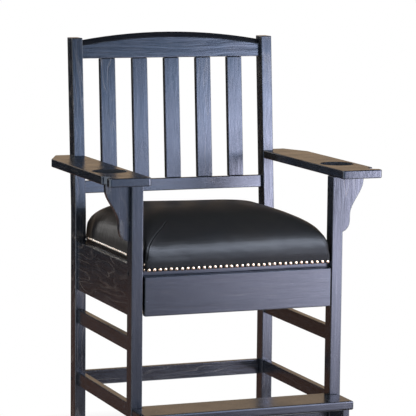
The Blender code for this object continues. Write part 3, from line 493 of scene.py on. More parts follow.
def dress_frame():
    """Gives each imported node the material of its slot, with fibres along its length."""
    slots = {row["node"]: row["material_slot"] for row in frame["record"]["subparts"]}
    mounts = {row["name"]: row["pos_m"] for row in frame["record"]["mounts"]}
    recesses = {
        "arm_" + side: (mounts["cup_floor_" + side], RECESS_RADIUS) for side in ("left", "right")
    }
    made = {}

    def wood(slot, axis, kind, lined):
        key = (slot, axis, kind, lined)
        if key not in made:
            look = BLACK_LACQUER if slot == "black_wood" else PALE_TIMBER
            name = f"{slot}_{'xyz'[axis]}_{kind}_{'lined' if lined else 'plain'}"
            made[key] = make_wood(name, axis, look, KIND_OFFSET * (kind + 1), lined)
        return made[key]

    steel = make_metal("dark_steel_bolt", *STEEL)
    nylon = make_plastic()
    for count, (name, item) in enumerate(sorted(NODES.items())):
        slot = slots[name]
        axis = fibre_axis(name)
        kind = count % WOOD_KINDS
        lined = name.startswith(LINED_PIECES)
        if name == "seat_board":
            material = make_wood("stained_seat_board", axis, STAINED_BOARD, KIND_OFFSET, False)
        elif name in recesses:
            offset = KIND_OFFSET * (kind + 1)
            recess = recesses[name]
            material = make_wood(name + "_wood", axis, BLACK_LACQUER, offset, lined, recess)
        elif slot in ("black_wood", "pale_wood"):
            material = wood(slot, axis, kind, lined)
        elif slot == "dark_steel":
            material = steel
        elif slot == "nylon":
            material = nylon
        else:
            continue
        for entry in item.material_slots:
            entry.material = material


# Cushion, in metres from the seat board's top and from the CAD solid's own box
SKIRT_DROP = 0.0175
SKIRT_THICKNESS = 0.016
CORNER_RADII = (0.010, 0.010, 0.018, 0.018)
CORNER_GROWTH = 0.28
CORNER_MOST_SHARE = 0.95
RING_CORNER_STEPS = 8
RING_SIDE_STEPS = 22
# Share of the half width or depth in from the edge, and on each curve the share of the height there
PROFILE_INSETS = (0.0, 0.0, 0.002, 0.012, 0.042, 0.105, 0.225, 0.42, 0.66, 0.85, 1.0)
PROFILE_HEIGHTS = {
    "left": (0.1, 0.2, 0.305, 0.49, 0.685, 0.845, 0.925, 0.962, 0.984, 0.996, 1.0),
    "right": (0.1, 0.19, 0.285, 0.425, 0.568, 0.702, 0.816, 0.9, 0.962, 0.991, 1.0),
    "rear_left": (0.1, 0.19, 0.29, 0.44, 0.6, 0.755, 0.86, 0.92, 0.96, 0.988, 1.0),
    "rear_right": (0.1, 0.19, 0.285, 0.415, 0.548, 0.672, 0.772, 0.86, 0.934, 0.982, 1.0),
}
FRONT_PROFILE = (
    (0.0000, 0.040),
    (0.0024, 0.076),
    (0.0087, 0.150),
    (0.0198, 0.224),
    (0.0348, 0.299),
    (0.0546, 0.373),
    (0.0811, 0.448),
    (0.1190, 0.522),
    (0.1740, 0.600),
    (0.2570, 0.685),
    (0.3600, 0.770),
    (0.4900, 0.850),
    (0.6600, 0.930),
    (0.8300, 0.982),
    (1.0000, 1.000),
)
PROFILE_SAMPLES = 600
EDGE_SHARE = 0.07
# How square the form is seen from above, at each end
FRONT_POWER = 4.3
REAR_LEFT_POWER = 6.5
REAR_RIGHT_POWER = 4.0
POWER_BLEND = 0.16
CROWN_SOFTNESS = 0.12
RING_STEPS = 40
RING_CROWDING = 2.4
LEG_CLEAR = 0.0046
LEG_GAP = 0.0026
LEG_REACH = 0.050
POST_REACH = 0.048
PINCH_BLEND = 0.020
# Room left for the simulation, on the crown and on the sides
SWELL = 0.0150
SWELL_RANGE = (0.2, 0.9)
SIDE_SWELL = 0.0012
# The lip's lower edge: in from its front face and up from its lowest level
LIP_ROUND = ((0.004, 0.0005), (0.001, 0.002), (0.0, 0.006))
LIP_INNER_RISE = 0.002
LIP_LAP = 0.012
LIP_STEPS = 60
LIP_TUCK = 0.003
LIP_TUCK_REACH = 0.006
VOXEL = 0.006
CLOTH_FRAMES = 20
CLOTH_SETTINGS = {
    "quality": 6,
    "mass": 0.35,
    "tension_stiffness": 12,
    "compression_stiffness": 12,
    "shear_stiffness": 6,
    "bending_stiffness": 1.5,
    "use_pressure": True,
    "uniform_pressure_force": 4.0,
}
GRIP_RANGE = (0.004, 0.062)
MOST_MOVE = 0.0075
LEAST_LENGTH = 1e-9
EVEN_ROUNDS = 40
HIP_ROUNDS = 24
HIP_RANGE = (0.064, 0.100)
# Rumples: depth in metres, how the face is turned where they begin and are full, and at what level
SIDE_WRINKLE = 0.00035
SIDE_FACING = (0.35, 0.80)
SIDE_LOW = (0.022, 0.034)
FRONT_WAVE = 0.0009
FRONT_FACING = (0.3, 0.7)
FRONT_LOW = (0.004, 0.02)
RUMPLE_HIGH = (0.07, 0.10)
TOP_WAVE = 0.0007
TOP_FACING = (0.5, 0.9)
TOP_SCALE = 15
# Layers of noise: share, shift and scale
WRINKLE_LAYERS = ((1.0, (0, 0, 0), (0, 120, 9)), (0.6, (4, 0, 0), (0, 260, 16)))
WAVE_LAYERS = ((1.0, (0, 2, 0), (13, 0, 26)), (0.5, (0, 7, 0), (34, 0, 60)))
WRINKLE_MIDDLE, WAVE_MIDDLE, TOP_MIDDLE = 0.6, 0.4, 0.5
# Seams: points near each one's line, and its depth; the last is the pleat
SEAMS = (
    (
        (
            (-0.2575, -0.2310, 0.680),
            (-0.2573, -0.2269, 0.7003),
            (-0.2548, -0.2272, 0.7158),
            (-0.2429, -0.2162, 0.7449),
            (-0.2153, -0.1849, 0.7681),
            (-0.1839, -0.1511, 0.7833),
            (-0.1493, -0.1068, 0.7960),
        ),
        0.0013,
    ),
    (
        (
            (0.2575, -0.2310, 0.680),
            (0.2573, -0.2269, 0.7003),
            (0.2548, -0.2272, 0.7158),
            (0.2429, -0.2162, 0.7449),
        ),
        0.0011,
    ),
    (((0.2470, -0.2328, 0.676), (0.2480, -0.2328, 0.686), (0.2520, -0.2325, 0.700)), 0.0012),
)
SEAM_STEPS = 24
SEAM_REACH = 0.009
SEAM_WIDTH = 0.0013
SEAM_LIP_AWAY = 0.0030
SEAM_LIP_WIDTH = 0.0026
SEAM_LIP_SHARE = 0.22
SEAM_FADE = (0.88, 1.0)
REFINE_REACHES = (0.011, 0.007)

CUSHION_LOW, CUSHION_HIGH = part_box("seat_cushion")
SEAT_LEVEL = CUSHION_LOW.z + SKIRT_DROP
SEAT_HALF = CUSHION_HIGH.x
SEAT_FRONT = CUSHION_LOW.y
SEAT_REAR = CUSHION_HIGH.y
SEAT_MIDDLE = (SEAT_FRONT + SEAT_REAR) / 2
SEAT_HEIGHT = CUSHION_HIGH.z - SEAT_LEVEL
FORM_HALF_WIDTH = SEAT_HALF - SIDE_SWELL
HALF_DEPTH = (SEAT_REAR - SEAT_FRONT) / 2
FORM_HALF_DEPTH = HALF_DEPTH - SIDE_SWELL


def smooth_step(low, high, value):
    share = min(1.0, max(0.0, (value - low) / (high - low)))
    return share * share * (3 - 2 * share)


def arc(corner, radius, start, end, steps):
    points = []
    for i in range(steps + 1):
        turn = math.radians(start + (end - start) * i / steps)
        points.append((corner[0] + radius * math.cos(turn), corner[1] + radius * math.sin(turn)))
    return points


def link_mesh(name, bm):
    bmesh.ops.recalc_face_normals(bm, faces=bm.faces)
    mesh = bpy.data.meshes.new(name)
    bm.to_mesh(mesh)
    bm.free()
    item = bpy.data.objects.new(name, mesh)
    bpy.context.scene.collection.objects.link(item)
    return item


def dress(item, material):
    """Shades the faces smooth and gives them all one material."""
    for face in item.data.polygons:
        face.use_smooth = True
    item.data.materials.clear()
    item.data.materials.append(material)


def baked(item):
    """Applies the modifiers that the object has now."""
    graph = bpy.context.evaluated_depsgraph_get()
    graph.update()
    mesh = bpy.data.meshes.new_from_object(item.evaluated_get(graph))
    item.modifiers.clear()
    item.data = mesh


def side_room(y):
    """How far the cushion draws in from its half width, beside the legs and the posts."""
    leg = 1 - smooth_step(LEG_REACH, LEG_REACH + PINCH_BLEND, y - SEAT_FRONT)
    post = 1 - smooth_step(POST_REACH, POST_REACH + PINCH_BLEND, SEAT_REAR - y)
    return LEG_CLEAR * max(leg, post)


def through(points, steps):
    """A smooth curve through the points."""
    places = []
    for i in range(len(points) - 1):
        nearby = (points[min(max(i + k, 0), len(points) - 1)] for k in (-1, 0, 1, 2))
        a, b, c, d = (Vector(point) for point in nearby)
        for j in range(steps):
            t = j / steps
            place = 2 * b + (c - a) * t
            place += (2 * a - 5 * b + 4 * c - d) * t**2
            place += (3 * b - a - 3 * c + d) * t**3
            places.append(place / 2)
    places.append(Vector(points[-1]))
    return places


class Profile:
    """Height over inset, read from a smooth curve."""

    def __init__(self, pairs):
        curve = through(pairs, PROFILE_SAMPLES // len(pairs))
        self.insets = [0.0]
        self.heights = [curve[0].y]
        for place in curve[1:]:
            self.insets.append(max(place.x, self.insets[-1]))
            self.heights.append(max(place.y, self.heights[-1]))

    def rise(self, inset):
        """0 at the top of the upright wall and 1 at the crown."""
        index = min(bisect.bisect_right(self.insets, inset), len(self.insets) - 1)
        before, after = self.insets[index - 1], self.insets[index]
        share = (inset - before) / (after - before) if after > before else 1.0
        low, high = self.heights[index - 1], self.heights[index]
        height = low + (high - low) * min(1.0, max(0.0, share))
        return max(0.0, (height - EDGE_SHARE) / (1 - EDGE_SHARE))


def off_middle(share):
    """The share of the way out from the middle, with the point at the middle taken off."""
    most = math.hypot(1, CROWN_SOFTNESS) - CROWN_SOFTNESS
    return min(1.0, (math.hypot(share, CROWN_SOFTNESS) - CROWN_SOFTNESS) / most)


def cushion_level(x, y, curves):
    """The height of the cushion's skin, where the curves of the sides and the ends meet."""
    side = curves["left" if x < 0 else "right"]
    across = max(0.0, 1 - side.rise(1 - off_middle(abs(x) / FORM_HALF_WIDTH)))
    inset = 1 - off_middle(abs(y - SEAT_MIDDLE) / FORM_HALF_DEPTH)
    if y < SEAT_MIDDLE:
        rise, power = curves["front"].rise(inset), FRONT_POWER
    else:
        to_right = smooth_step(-POWER_BLEND, POWER_BLEND, x)
        rise = curves["rear_left"].rise(inset) * (1 - to_right)
        rise += curves["rear_right"].rise(inset) * to_right
        power = REAR_LEFT_POWER + (REAR_RIGHT_POWER - REAR_LEFT_POWER) * to_right
    lack = min(1.0, (across**power + max(0.0, 1 - rise) ** power) ** (1 / power))
    share = EDGE_SHARE + (1 - EDGE_SHARE) * (1 - lack)
    return SEAT_LEVEL + share * SEAT_HEIGHT - SWELL * smooth_step(*SWELL_RANGE, share)


def cushion_ring(inset_share):
    """The plan of the cushion, drawn in by a share of its half sizes."""
    half_x = FORM_HALF_WIDTH * (1 - inset_share)
    half_y = FORM_HALF_DEPTH * (1 - inset_share)
    growth = CORNER_GROWTH * inset_share * HALF_DEPTH
    most = min(half_x, half_y) * CORNER_MOST_SHARE
    radii = [min(radius + growth, most) for radius in CORNER_RADII]
    points = []
    for quarter, (sx, sy) in enumerate(((1, 1), (-1, 1), (-1, -1), (1, -1))):
        start = quarter * 90
        radius = radii[quarter]
        corner = (sx * (half_x - radius), sy * (half_y - radius))
        points += arc(corner, radius, start, start + 90, RING_CORNER_STEPS)
        after = radii[(quarter + 1) % 4]
        if quarter % 2:
            ahead = (sx * half_x, -sy * (half_y - after))
        else:
            ahead = (-sx * (half_x - after), sy * half_y)
        last = points[-1]
        for i in range(1, RING_SIDE_STEPS):
            share = i / RING_SIDE_STEPS
            points.append(tuple(last[k] + (ahead[k] - last[k]) * share for k in range(2)))
    return [(x, y + SEAT_MIDDLE) for x, y in points]


def cushion_form():
    """The closed form that the simulation starts from."""
    curves = {"front": Profile(FRONT_PROFILE)}
    for name, heights in PROFILE_HEIGHTS.items():
        curves[name] = Profile(tuple(zip(PROFILE_INSETS, heights)))
    bm = bmesh.new()
    rings = []
    for i in range(-1, RING_STEPS):
        ring = []
        for x, y in cushion_ring((max(i, 0) / RING_STEPS) ** RING_CROWDING):
            level = SEAT_LEVEL if i < 0 else cushion_level(x, y, curves)
            x = x * (FORM_HALF_WIDTH - side_room(y)) / FORM_HALF_WIDTH
            ring.append(bm.verts.new((x, y, level)))
        rings.append(ring)
    crown = bm.verts.new((0, SEAT_MIDDLE, cushion_level(0, SEAT_MIDDLE, curves)))
    bm.faces.new(reversed(rings[0]))
    for lower, upper in zip(rings, rings[1:]):
        for i in range(len(lower)):
            j = (i + 1) % len(lower)
            bm.faces.new((lower[i], lower[j], upper[j], upper[i]))
    for i in range(len(rings[-1])):
        j = (i + 1) % len(rings[-1])
        bm.faces.new((rings[-1][i], rings[-1][j], crown))
    add_lip(bm)
    return link_mesh("seat_leather", bm)


def add_lip(bm):
    """The leather pulled down over the seat board's front edge, before the remesh joins it on."""
    half = SEAT_HALF - LEG_CLEAR - SIDE_SWELL
    low = SEAT_LEVEL - SKIRT_DROP
    front = SEAT_FRONT + SIDE_SWELL
    inner = SEAT_FRONT + SKIRT_THICKNESS
    top = SEAT_LEVEL + LIP_LAP
    section = [(inner, low + LIP_INNER_RISE)]
    section += [(front + away, low + rise) for away, rise in LIP_ROUND]
    section += [(front, top), (inner, top)]
    columns = []
    for i in range(LIP_STEPS + 1):
        x = half * (2 * i / LIP_STEPS - 1)
        tuck = LIP_TUCK * (1 - smooth_step(0.0, LIP_TUCK_REACH, half - abs(x)))
        columns.append([bm.verts.new((x, min(y + tuck, inner), z)) for y, z in section])
    for one, other in zip(columns, columns[1:]):
        for k in range(len(section)):
            m = (k + 1) % len(section)
            bm.faces.new((one[k], one[m], other[m], other[k]))
    bm.faces.new(columns[0])
    bm.faces.new(reversed(columns[-1]))


def refine_near(item, curves):
    """Finer faces near the curves, so that a seam can be cut into them."""
    for reach in REFINE_REACHES:
        bm = bmesh.new()
        bm.from_mesh(item.data)
        near = set()
        for vert in bm.verts:
            if any(tree.find(vert.co)[2] < reach for _, tree, _ in curves):
                near.add(vert)
        edges = [edge for edge in bm.edges if edge.verts[0] in near and edge.verts[1] in near]
        bmesh.ops.subdivide_edges(bm, edges=edges, cuts=1, use_grid_fill=True)
        bm.to_mesh(item.data)
        bm.free()


def cut_seams(item):
    """Sinks each seam into the leather, with the front side of the fold raised beside it."""
    verts = [vert.co.copy() for vert in item.data.vertices]
    faces = [tuple(face.vertices) for face in item.data.polygons]
    surface = BVHTree.FromPolygons(verts, faces)
    curves = []
    for points, depth in SEAMS:
        places = [surface.find_nearest(place)[0] for place in through(points, SEAM_STEPS)]
        tree = KDTree(len(places))
        for i, place in enumerate(places):
            tree.insert(place, i)
        tree.balance()
        curves.append((places, tree, depth))
    refine_near(item, curves)
    verts = item.data.vertices
    normals = [vert.normal.copy() for vert in verts]
    for vert, normal in zip(verts, normals):
        for places, tree, depth in curves:
            place, index, reach = tree.find(vert.co)
            if reach > SEAM_REACH:
                continue
            ahead = places[min(index + 1, len(places) - 1)] - places[max(index - 1, 0)]
            aside = (vert.co - place).dot(ahead.normalized().cross(normal))
            if places[0].x >= 0:
                aside = -aside
            fade = 1 - smooth_step(*SEAM_FADE, index / (len(places) - 1))
            groove = math.exp(-((reach / SEAM_WIDTH) ** 2))
            lip = math.exp(-(((aside - SEAM_LIP_AWAY) / SEAM_LIP_WIDTH) ** 2)) if aside > 0 else 0
            vert.co += normal * fade * depth * (SEAM_LIP_SHARE * lip - groove)


def layered(layers, place):
    """The sum of some layers of noise at a place."""
    total = 0
    for share, shift, scale in layers:
        spot = Vector([shift[k] + place[k] * scale[k] for k in range(3)])
        total += share * noise.noise(spot)
    return total


def rumple(item):
    """Soft waves low on the front, fine upright wrinkles on the sides, a slightly uneven crown."""
    verts = item.data.vertices
    normals = [vert.normal.copy() for vert in verts]
    for vert, normal in zip(verts, normals):
        rise = vert.co.z - SEAT_LEVEL
        below = 1 - smooth_step(*RUMPLE_HIGH, rise)
        side = smooth_step(*SIDE_FACING, abs(normal.x)) * smooth_step(*SIDE_LOW, rise) * below
        front = smooth_step(*FRONT_FACING, -normal.y) * smooth_step(*FRONT_LOW, rise) * below
        top = smooth_step(*TOP_FACING, normal.z)
        move = SIDE_WRINKLE * side * (layered(WRINKLE_LAYERS, vert.co) - WRINKLE_MIDDLE)
        move += FRONT_WAVE * front * (layered(WAVE_LAYERS, vert.co) - WAVE_MIDDLE)
        move += TOP_WAVE * top * (noise.noise(vert.co * TOP_SCALE) - TOP_MIDDLE)
        vert.co += normal * move


def evened(moves, ties):
    """Each move averaged with its neighbours' moves, which takes the sharp creases out."""
    sums = [move.copy() for move in moves]
    counts = [1] * len(moves)
    for one, other in ties:
        sums[one] += moves[other]
        sums[other] += moves[one]
        counts[one] += 1
        counts[other] += 1
    return [total / count for total, count in zip(sums, counts)]


def swell(item):
    """Blows the closed form up a little as cloth, with its lower edge held."""
    held = item.vertex_groups.new(name="held")
    for vert in item.data.vertices:
        grip = 1 - smooth_step(*GRIP_RANGE, vert.co.z - SEAT_LEVEL)
        if grip > 0:
            held.add([vert.index], grip, "REPLACE")
    start = [vert.co.copy() for vert in item.data.vertices]
    cloth = item.modifiers.new("Cloth", "CLOTH")
    for name, value in CLOTH_SETTINGS.items():
        setattr(cloth.settings, name, value)
    cloth.settings.vertex_group_mass = "held"
    cloth.settings.effector_weights.gravity = 0
    cloth.collision_settings.use_collision = False
    scene = bpy.context.scene
    for number in range(1, CLOTH_FRAMES + 1):
        scene.frame_set(number)
    baked(item)
    scene.frame_set(1)
    moves = [vert.co - before for vert, before in zip(item.data.vertices, start)]
    ties = [tuple(edge.vertices) for edge in item.data.edges]
    for _ in range(EVEN_ROUNDS):
        moves = evened(moves, ties)
    for vert, before, move in zip(item.data.vertices, start, moves):
        vert.co = before + move * min(1.0, MOST_MOVE / max(move.length, LEAST_LENGTH))


def soften_hips(item):
    """Rounds the hips where the curves of two sides meet, and leaves the lower wall as it is."""
    verts = item.data.vertices
    ties = [tuple(edge.vertices) for edge in item.data.edges]
    places = [vert.co.copy() for vert in verts]
    shares = [smooth_step(*HIP_RANGE, place.z - SEAT_LEVEL) for place in places]
    for _ in range(HIP_ROUNDS):
        mean = evened(places, ties)
        places = [place.lerp(to, share) for place, to, share in zip(places, mean, shares)]
    for vert, place in zip(verts, places):
        vert.co = place


def keep_clear(item):
    """Keeps the leather off the inner faces of the legs and the posts."""
    for vert in item.data.vertices:
        most = SEAT_HALF - LEG_GAP * side_room(vert.co.y) / LEG_CLEAR
        vert.co.x = max(-most, min(most, vert.co.x))


def make_cushion(leather):
    item = cushion_form()
    remesh = item.modifiers.new("Remesh", "REMESH")
    remesh.mode = "VOXEL"
    remesh.voxel_size = VOXEL
    baked(item)
    swell(item)
    soften_hips(item)
    subdivide = item.modifiers.new("Subdivision", "SUBSURF")
    subdivide.levels = 1
    subdivide.render_levels = 1
    baked(item)
    rumple(item)
    keep_clear(item)
    cut_seams(item)
    dress(item, leather)
    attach(item, BODY)
    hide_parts("seat_cushion")
    return item


# Nails: radius and height of the dome
FRONT_NAIL = (0.0046, 0.0026)
SIDE_NAIL = (0.0046, 0.0024)
NAIL_PITCH = 0.0153
NAIL_SINK = 0.0006
NAIL_SIDES = 14
NAIL_RINGS = 5
NAIL_FLARE = 0.9
NAIL_SCATTER = 0.00045
NAIL_TILT = 0.05
NAIL_SEED = 7
# Which way each row faces, and the axis that it runs along
NAIL_ROWS = {
    "nailhead_trim_front": ((0, -1, 0), 0),
    "nailhead_trim_left": ((-1, 0, 0), 1),
    "nailhead_trim_right": ((1, 0, 0), 1),
}
CORNER_NAIL_LEVELS = (0.679, 0.693)
CORNER_NAIL_BACK = 0.0105


def add_nail(bm, base, out, size, draw):
    """A domed head with a slightly flared rim, a little out of line as hand-set nails are."""
    up = Vector((0, 0, 1))
    across = out.cross(up)
    base = base + across * draw.uniform(-1, 1) * NAIL_SCATTER
    base += up * draw.uniform(-1, 1) * NAIL_SCATTER
    tilt = out + across * draw.uniform(-NAIL_TILT, NAIL_TILT)
    tilt += up * draw.uniform(-NAIL_TILT, NAIL_TILT)
    tilt.normalize()
    side = tilt.cross(up).normalized()
    top = side.cross(tilt)
    rings = []
    radius, dome = size
    shape = [(1.0, -NAIL_SINK), (1.0, 0.0)]
    for i in range(1, NAIL_RINGS):
        rise = math.radians(90) * i / NAIL_RINGS
        shape.append((math.cos(rise) ** NAIL_FLARE, dome * math.sin(rise)))
    for share, height in shape:
        ring = []
        for j in range(NAIL_SIDES):
            turn = math.radians(360) * j / NAIL_SIDES
            spoke = side * math.cos(turn) + top * math.sin(turn)
            ring.append(bm.verts.new(base + spoke * radius * share + tilt * height))
        rings.append(ring)
    tip = bm.verts.new(base + tilt * dome)
    bm.faces.new(reversed(rings[0]))
    for lower, upper in zip(rings, rings[1:]):
        for j in range(NAIL_SIDES):
            k = (j + 1) % NAIL_SIDES
            bm.faces.new((lower[j], lower[k], upper[k], upper[j]))
    for j in range(NAIL_SIDES):
        bm.faces.new((rings[-1][j], rings[-1][(j + 1) % NAIL_SIDES], tip))


def make_nails(brass):
    """A row of nails for each trim, and two more that turn round the seat's left front corner."""
    made = []
    for seed, (node, (out, axis)) in enumerate(NAIL_ROWS.items()):
        low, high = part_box(node)
        draw = random.Random(seed + NAIL_SEED)
        size = SIDE_NAIL if axis else FRONT_NAIL
        start = low[axis] + size[0]
        end = high[axis] - size[0]
        count = round((end - start) / NAIL_PITCH) + 1
        level = (low.z + high.z) / 2
        bm = bmesh.new()
        for i in range(count):
            spot = start + (end - start) * i / (count - 1)
            base = (out[0] * SEAT_HALF, spot, level) if axis else (spot, SEAT_FRONT, level)
            add_nail(bm, Vector(base), Vector(out), size, draw)
        if not axis:
            for height in CORNER_NAIL_LEVELS:
                base = Vector((LEG_CLEAR - SEAT_HALF, SEAT_FRONT + CORNER_NAIL_BACK, height))
                add_nail(bm, base, Vector((-1, 0, 0)), size, draw)
        item = link_mesh(node + "_nails", bm)
        dress(item, brass)
        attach(item, BODY)
        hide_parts(node)
        made.append(item)
    return made


# Cards outside the picture that only reflections see: three corners, colour, strength
STUDIO_CARDS = {
    "card_left": (
        ((-4.0, 0.3, 0.0), (-1.45, 3.225, 0.0), (-4.0, 0.3, 1.15)),
        (0.143, 0.097, 0.074),
        0.7,
    ),
    "card_left_dark": (
        ((-1.45, 3.225, 0.0), (-0.6, 4.2, 0.0), (-1.45, 3.225, 1.15)),
        (0.02, 0.015, 0.012),
        0.7,
    ),
    "card_left_upper": (
        ((-4.0, 0.3, 1.15), (-0.6, 4.2, 1.15), (-4.0, 0.3, 3.0)),
        (0.90, 0.86, 0.82),
        1.5,
    ),
    "card_front_dark": (
        ((-3.0, -2.5, 1.2), (3.5, -2.5, 1.2), (-3.0, -2.5, 1.95)),
        (0.03, 0.035, 0.045),
        1.0,
    ),
    "card_front_floor": (
        ((-1.2, -1.24, 0.006), (2.2, -1.24, 0.006), (-1.2, -0.36, 0.006)),
        (0.11, 0.060, 0.038),
        1.0,
    ),
    "card_left_floor": (
        ((-4.0, 0.3, 0.006), (0.45, 0.3, 0.006), (-4.0, 4.2, 0.006)),
        (0.186, 0.088, 0.052),
        0.7,
    ),
    "card_rear": (
        ((-0.6, 4.2, 0.0), (4.4, 2.6, 0.0), (-0.6, 4.2, 3.0)),
        (0.95, 0.68, 0.45),
        0.57,
    ),
    "card_right": (
        ((4.4, 2.6, 0.0), (4.4, -0.6, 0.0), (4.4, 2.6, 3.0)),
        (0.30, 0.27, 0.25),
        0.8,
    ),
    "card_top": (
        ((-4.0, -0.6, 3.0), (4.4, -0.6, 3.0), (-4.0, 4.2, 3.0)),
        (0.03, 0.03, 0.035),
        1.0,
    ),
}
SEAT_CARD = (((0.0, -2.5, 1.95), (2.6, -2.5, 1.95), (0.0, -1.15, 3.1)), (0.86, 0.91, 1.0), 24.0)
NAIL_CARD = (((-2.4, 1.98, 0.2), (-1.0, 3.6, 0.2), (-2.4, 1.98, 2.6)), (0.78, 1.0, 1.22), 3.2)


def make_card(name, corners, colour, strength):
    """A card from three of its corners, with its nodes and the one that glows."""
    bm = bmesh.new()
    a, b, c = (Vector(corner) for corner in corners)
    bm.faces.new([bm.verts.new(point) for point in (a, b, b + c - a, c)])
    item = link_mesh(name, bm)
    material = bpy.data.materials.new(name)
    material.use_nodes = True
    nodes = Nodes(material.node_tree)
    glow = nodes.new("ShaderNodeEmission")
    glow.inputs["Color"].default_value = (*colour, 1)
    glow.inputs["Strength"].default_value = strength
    output = nodes.new("ShaderNodeOutputMaterial")
    nodes.link(glow.outputs["Emission"], output.inputs["Surface"])
    item.data.materials.append(material)
    item.visible_camera = item.visible_diffuse = item.visible_shadow = False
    return item, nodes, glow


# The front softbox: its strength across (x, share of the most) and up (z, share of the most)
CARD_DEPTH = -1.25
CARD_LEFT, CARD_RIGHT = -0.9, 1.9
CARD_TOP = 1.46
CARD_MOST = 5.8
CARD_ACROSS = (
    (-0.90, 0.055),
    (0.00, 0.09),
    (0.30, 0.19),
    (0.50, 0.36),
    (0.74, 0.54),
    (0.89, 0.90),
    (1.15, 1.0),
)
CARD_UP = (
    (0.0, 0.30),
    (0.2, 0.38),
    (0.3, 0.48),
    (0.4, 0.66),
    (0.5, 0.80),
    (0.7, 0.95),
    (1.0, 1.0),
    (1.15, 0.9),
    (1.25, 0.62),
    (1.36, 0.30),
    (1.46, 0.18),
)
# Soft patches on it: middle, half sizes and added share
CARD_PATCHES = (
    ((0.20, 1.02), (0.22, 0.22), 1.0),
    ((0.69, 0.77), (0.20, 0.25), -0.95),
)
PATCH_FADE = (0.2, 1.0)
# Its colour goes from blue to neutral downward from a level, and to the right
TINT_LEVEL, TINT_UP, TINT_START, TINT_ACROSS = 0.42, -1.5, 0.95, 0.8
TINT_BLUE, TINT_NEUTRAL = (0.54, 0.71, 1.0), (0.95, 0.86, 1.0)


def ramp_through(nodes, value, pairs):
    """A piecewise line through pairs of place and level, for levels from 0 to 1."""
    low, high = pairs[0][0], pairs[-1][0]
    node = nodes.new("ShaderNodeValToRGB")
    nodes.link(nodes.remap(value, low, high), node.inputs["Fac"])
    stops = node.color_ramp.elements
    while len(stops) < len(pairs):
        stops.new(0.5)
    for stop, (place, _) in zip(stops, pairs):
        stop.position = (place - low) / (high - low)
    for stop, (_, level) in zip(stops, pairs):
        stop.color = (level, level, level, 1)
    return node.outputs["Color"]


def make_front_card():
    """The face of a wide softbox, dimmer and bluer toward the left and the top."""
    flat = ((CARD_LEFT, 0.0), (CARD_RIGHT, 0.0), (CARD_LEFT, CARD_TOP))
    corners = [(x, CARD_DEPTH, z) for x, z in flat]
    _, nodes, glow = make_card("card_front", corners, (1, 1, 1), 1.0)
    nodes.place_here()
    split = nodes.new("ShaderNodeSeparateXYZ")
    nodes.link(nodes.place, split.inputs[0])
    across, up = split.outputs["X"], split.outputs["Z"]
    level = ramp_through(nodes, across, CARD_ACROSS)
    level = nodes.math("MULTIPLY", level, ramp_through(nodes, up, CARD_UP))
    for (x, z), (wide, high), share in CARD_PATCHES:
        patch = nodes.mapped((x, CARD_DEPTH, z), (wide, 1.0, high), kind="TEXTURE")
        away = nodes.vector("LENGTH", patch, output="Value")
        level = nodes.math("MULTIPLY", level, nodes.remap(away, *PATCH_FADE, 1 + share, 1.0))
    nodes.link(nodes.math("MULTIPLY", level, CARD_MOST), glow.inputs["Strength"])
    height = nodes.math("MULTIPLY", nodes.math("SUBTRACT", up, TINT_LEVEL), TINT_UP)
    aside = nodes.math("MULTIPLY", across, TINT_ACROSS)
    neutral = nodes.math("ADD", nodes.math("ADD", height, TINT_START), aside)
    neutral = nodes.remap(neutral, 0.0, 1.0)
    nodes.link(nodes.mix(neutral, TINT_BLUE, TINT_NEUTRAL), glow.inputs["Color"])


# Lamps: place, target, sizes, power in watts, colour
KEY_LAMP = ((1.75, -2.05, 0.95), (0, 0, 0.85), (1.5, 1.9), 75, (0.90, 0.95, 1.0))
LEFT_LAMP = ((-2.4, 0.7, 1.5), (0, 0, 0.8), (1.2, 1.2), 18, (1.0, 0.93, 0.86))
SEAT_LAMP = ((-1.5, 2.9, 1.10), (-0.26, 0, 0.74), (0.5, 0.8), 11, (1.0, 0.97, 0.94))


def make_lamp(name, place, target, size, power, colour):
    data = bpy.data.lights.new(name, "AREA")
    data.shape = "RECTANGLE"
    data.size, data.size_y = size
    data.energy = power
    data.color = colour
    item = bpy.data.objects.new(name, data)
    bpy.context.scene.collection.objects.link(item)
    item.location = place
    item.rotation_euler = (Vector(target) - Vector(place)).to_track_quat("-Z", "Y").to_euler()
    return item


# Floor and background
FLOOR_HALF = 8.0
FLOOR_PARTS = 8
FLOOR_NEAR = 0.75
FLOOR_FAR = 1.15
FLOOR_GLOW = 0.30
FLOOR_NOISE = (30.0, 4.0)
FLOOR_DARK, FLOOR_LIGHT = (0.80, 0.80, 0.80), (0.84, 0.84, 0.84)
FLOOR_ROUGH = (0.3, 0.7, 0.75, 0.85)
FLOOR_BUMP = (0.05, 0.0005)
WORLD_LIGHT = (0.95, 0.97, 1.0, 1)
WORLD_STRENGTH = 0.20


def seen_directly(nodes):
    """1 for camera, glossy and transmission rays, which see the white background."""
    path = nodes.new("ShaderNodeLightPath")
    seen = path.outputs["Is Camera Ray"]
    for ray in ("Is Glossy Ray", "Is Transmission Ray"):
        seen = nodes.math("MAXIMUM", seen, path.outputs[ray])
    return seen


def blend_shaders(nodes, share, one, other, target):
    blend = nodes.new("ShaderNodeMixShader")
    for socket, source in zip(blend.inputs, (share, one, other)):
        nodes.link(source, socket)
    nodes.link(blend.outputs[0], target)


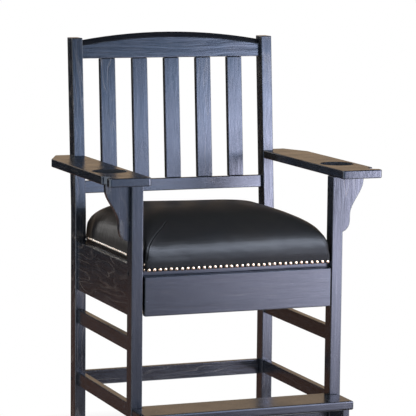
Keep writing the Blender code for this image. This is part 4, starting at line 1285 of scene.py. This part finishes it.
def make_floor_material():
    """A pale floor that takes the shadow near the chair and is white further out."""
    shader = Shader("pale_floor")
    speck = shader.noise(*FLOOR_NOISE)
    material = shader.finish(
        Base_Color=shader.mix(speck, FLOOR_DARK, FLOOR_LIGHT),
        Roughness=shader.remap(speck, *FLOOR_ROUGH),
        Normal=shader.bump(speck, *FLOOR_BUMP),
        Emission_Color=(1, 1, 1, 1),
        Emission_Strength=FLOOR_GLOW,
    )
    away = shader.vector("LENGTH", shader.place, output="Value")
    away = shader.remap(away, FLOOR_NEAR, FLOOR_FAR)
    share = shader.math("MULTIPLY", away, seen_directly(shader))
    near = shader.surface.outputs["BSDF"]
    far = shader.new("ShaderNodeEmission").outputs["Emission"]
    blend_shaders(shader, share, near, far, shader.output.inputs["Surface"])
    return material


def make_world():
    """White where a ray sees it directly, and a weak cool light otherwise."""
    world = bpy.data.worlds.new("studio")
    world.use_nodes = True
    bpy.context.scene.world = world
    nodes = Nodes(world.node_tree)
    white = nodes.new("ShaderNodeBackground")
    white.inputs["Color"].default_value = (1, 1, 1, 1)
    soft = nodes.new("ShaderNodeBackground")
    soft.inputs["Color"].default_value = WORLD_LIGHT
    soft.inputs["Strength"].default_value = WORLD_STRENGTH
    output = nodes.new("ShaderNodeOutputWorld")
    seen = seen_directly(nodes)
    blend_shaders(nodes, seen, soft.outputs[0], white.outputs[0], output.inputs["Surface"])


def make_studio():
    make_world()
    bm = bmesh.new()
    bmesh.ops.create_grid(bm, x_segments=FLOOR_PARTS, y_segments=FLOOR_PARTS, size=FLOOR_HALF)
    floor = link_mesh("floor", bm)
    floor.data.materials.append(make_floor_material())
    for name, lamp in (("key_softbox", KEY_LAMP), ("left_softbox", LEFT_LAMP)):
        make_lamp(name, *lamp).visible_glossy = False
    make_front_card()
    for name, card in STUDIO_CARDS.items():
        make_card(name, *card)


def light_only(name, lights, receivers):
    """Links the lights to the receivers, so that nothing else takes their light."""
    group = bpy.data.collections.new(name)
    for item in receivers:
        group.objects.link(item)
    for light in lights:
        light.light_linking.receiver_collection = group


def light_seat(cushion, nails):
    """A card over the front and a softbox to the left for the seat, and a card for the nails."""
    card, _, _ = make_card("card_upper", *SEAT_CARD)
    side = make_lamp("side_softbox", *SEAT_LAMP)
    glint, _, _ = make_card("card_nails", *NAIL_CARD)
    light_only("seat_receivers", (card, side), [cushion, *nails])
    light_only("nail_receivers", (glint,), nails)


make_camera()
make_studio()
dress_frame()
leather = make_leather()
brass = make_metal("brass_nail_head", *BRASS)
light_seat(make_cushion(leather), make_nails(brass))

bpy.context.scene.view_settings.view_transform = "Standard"
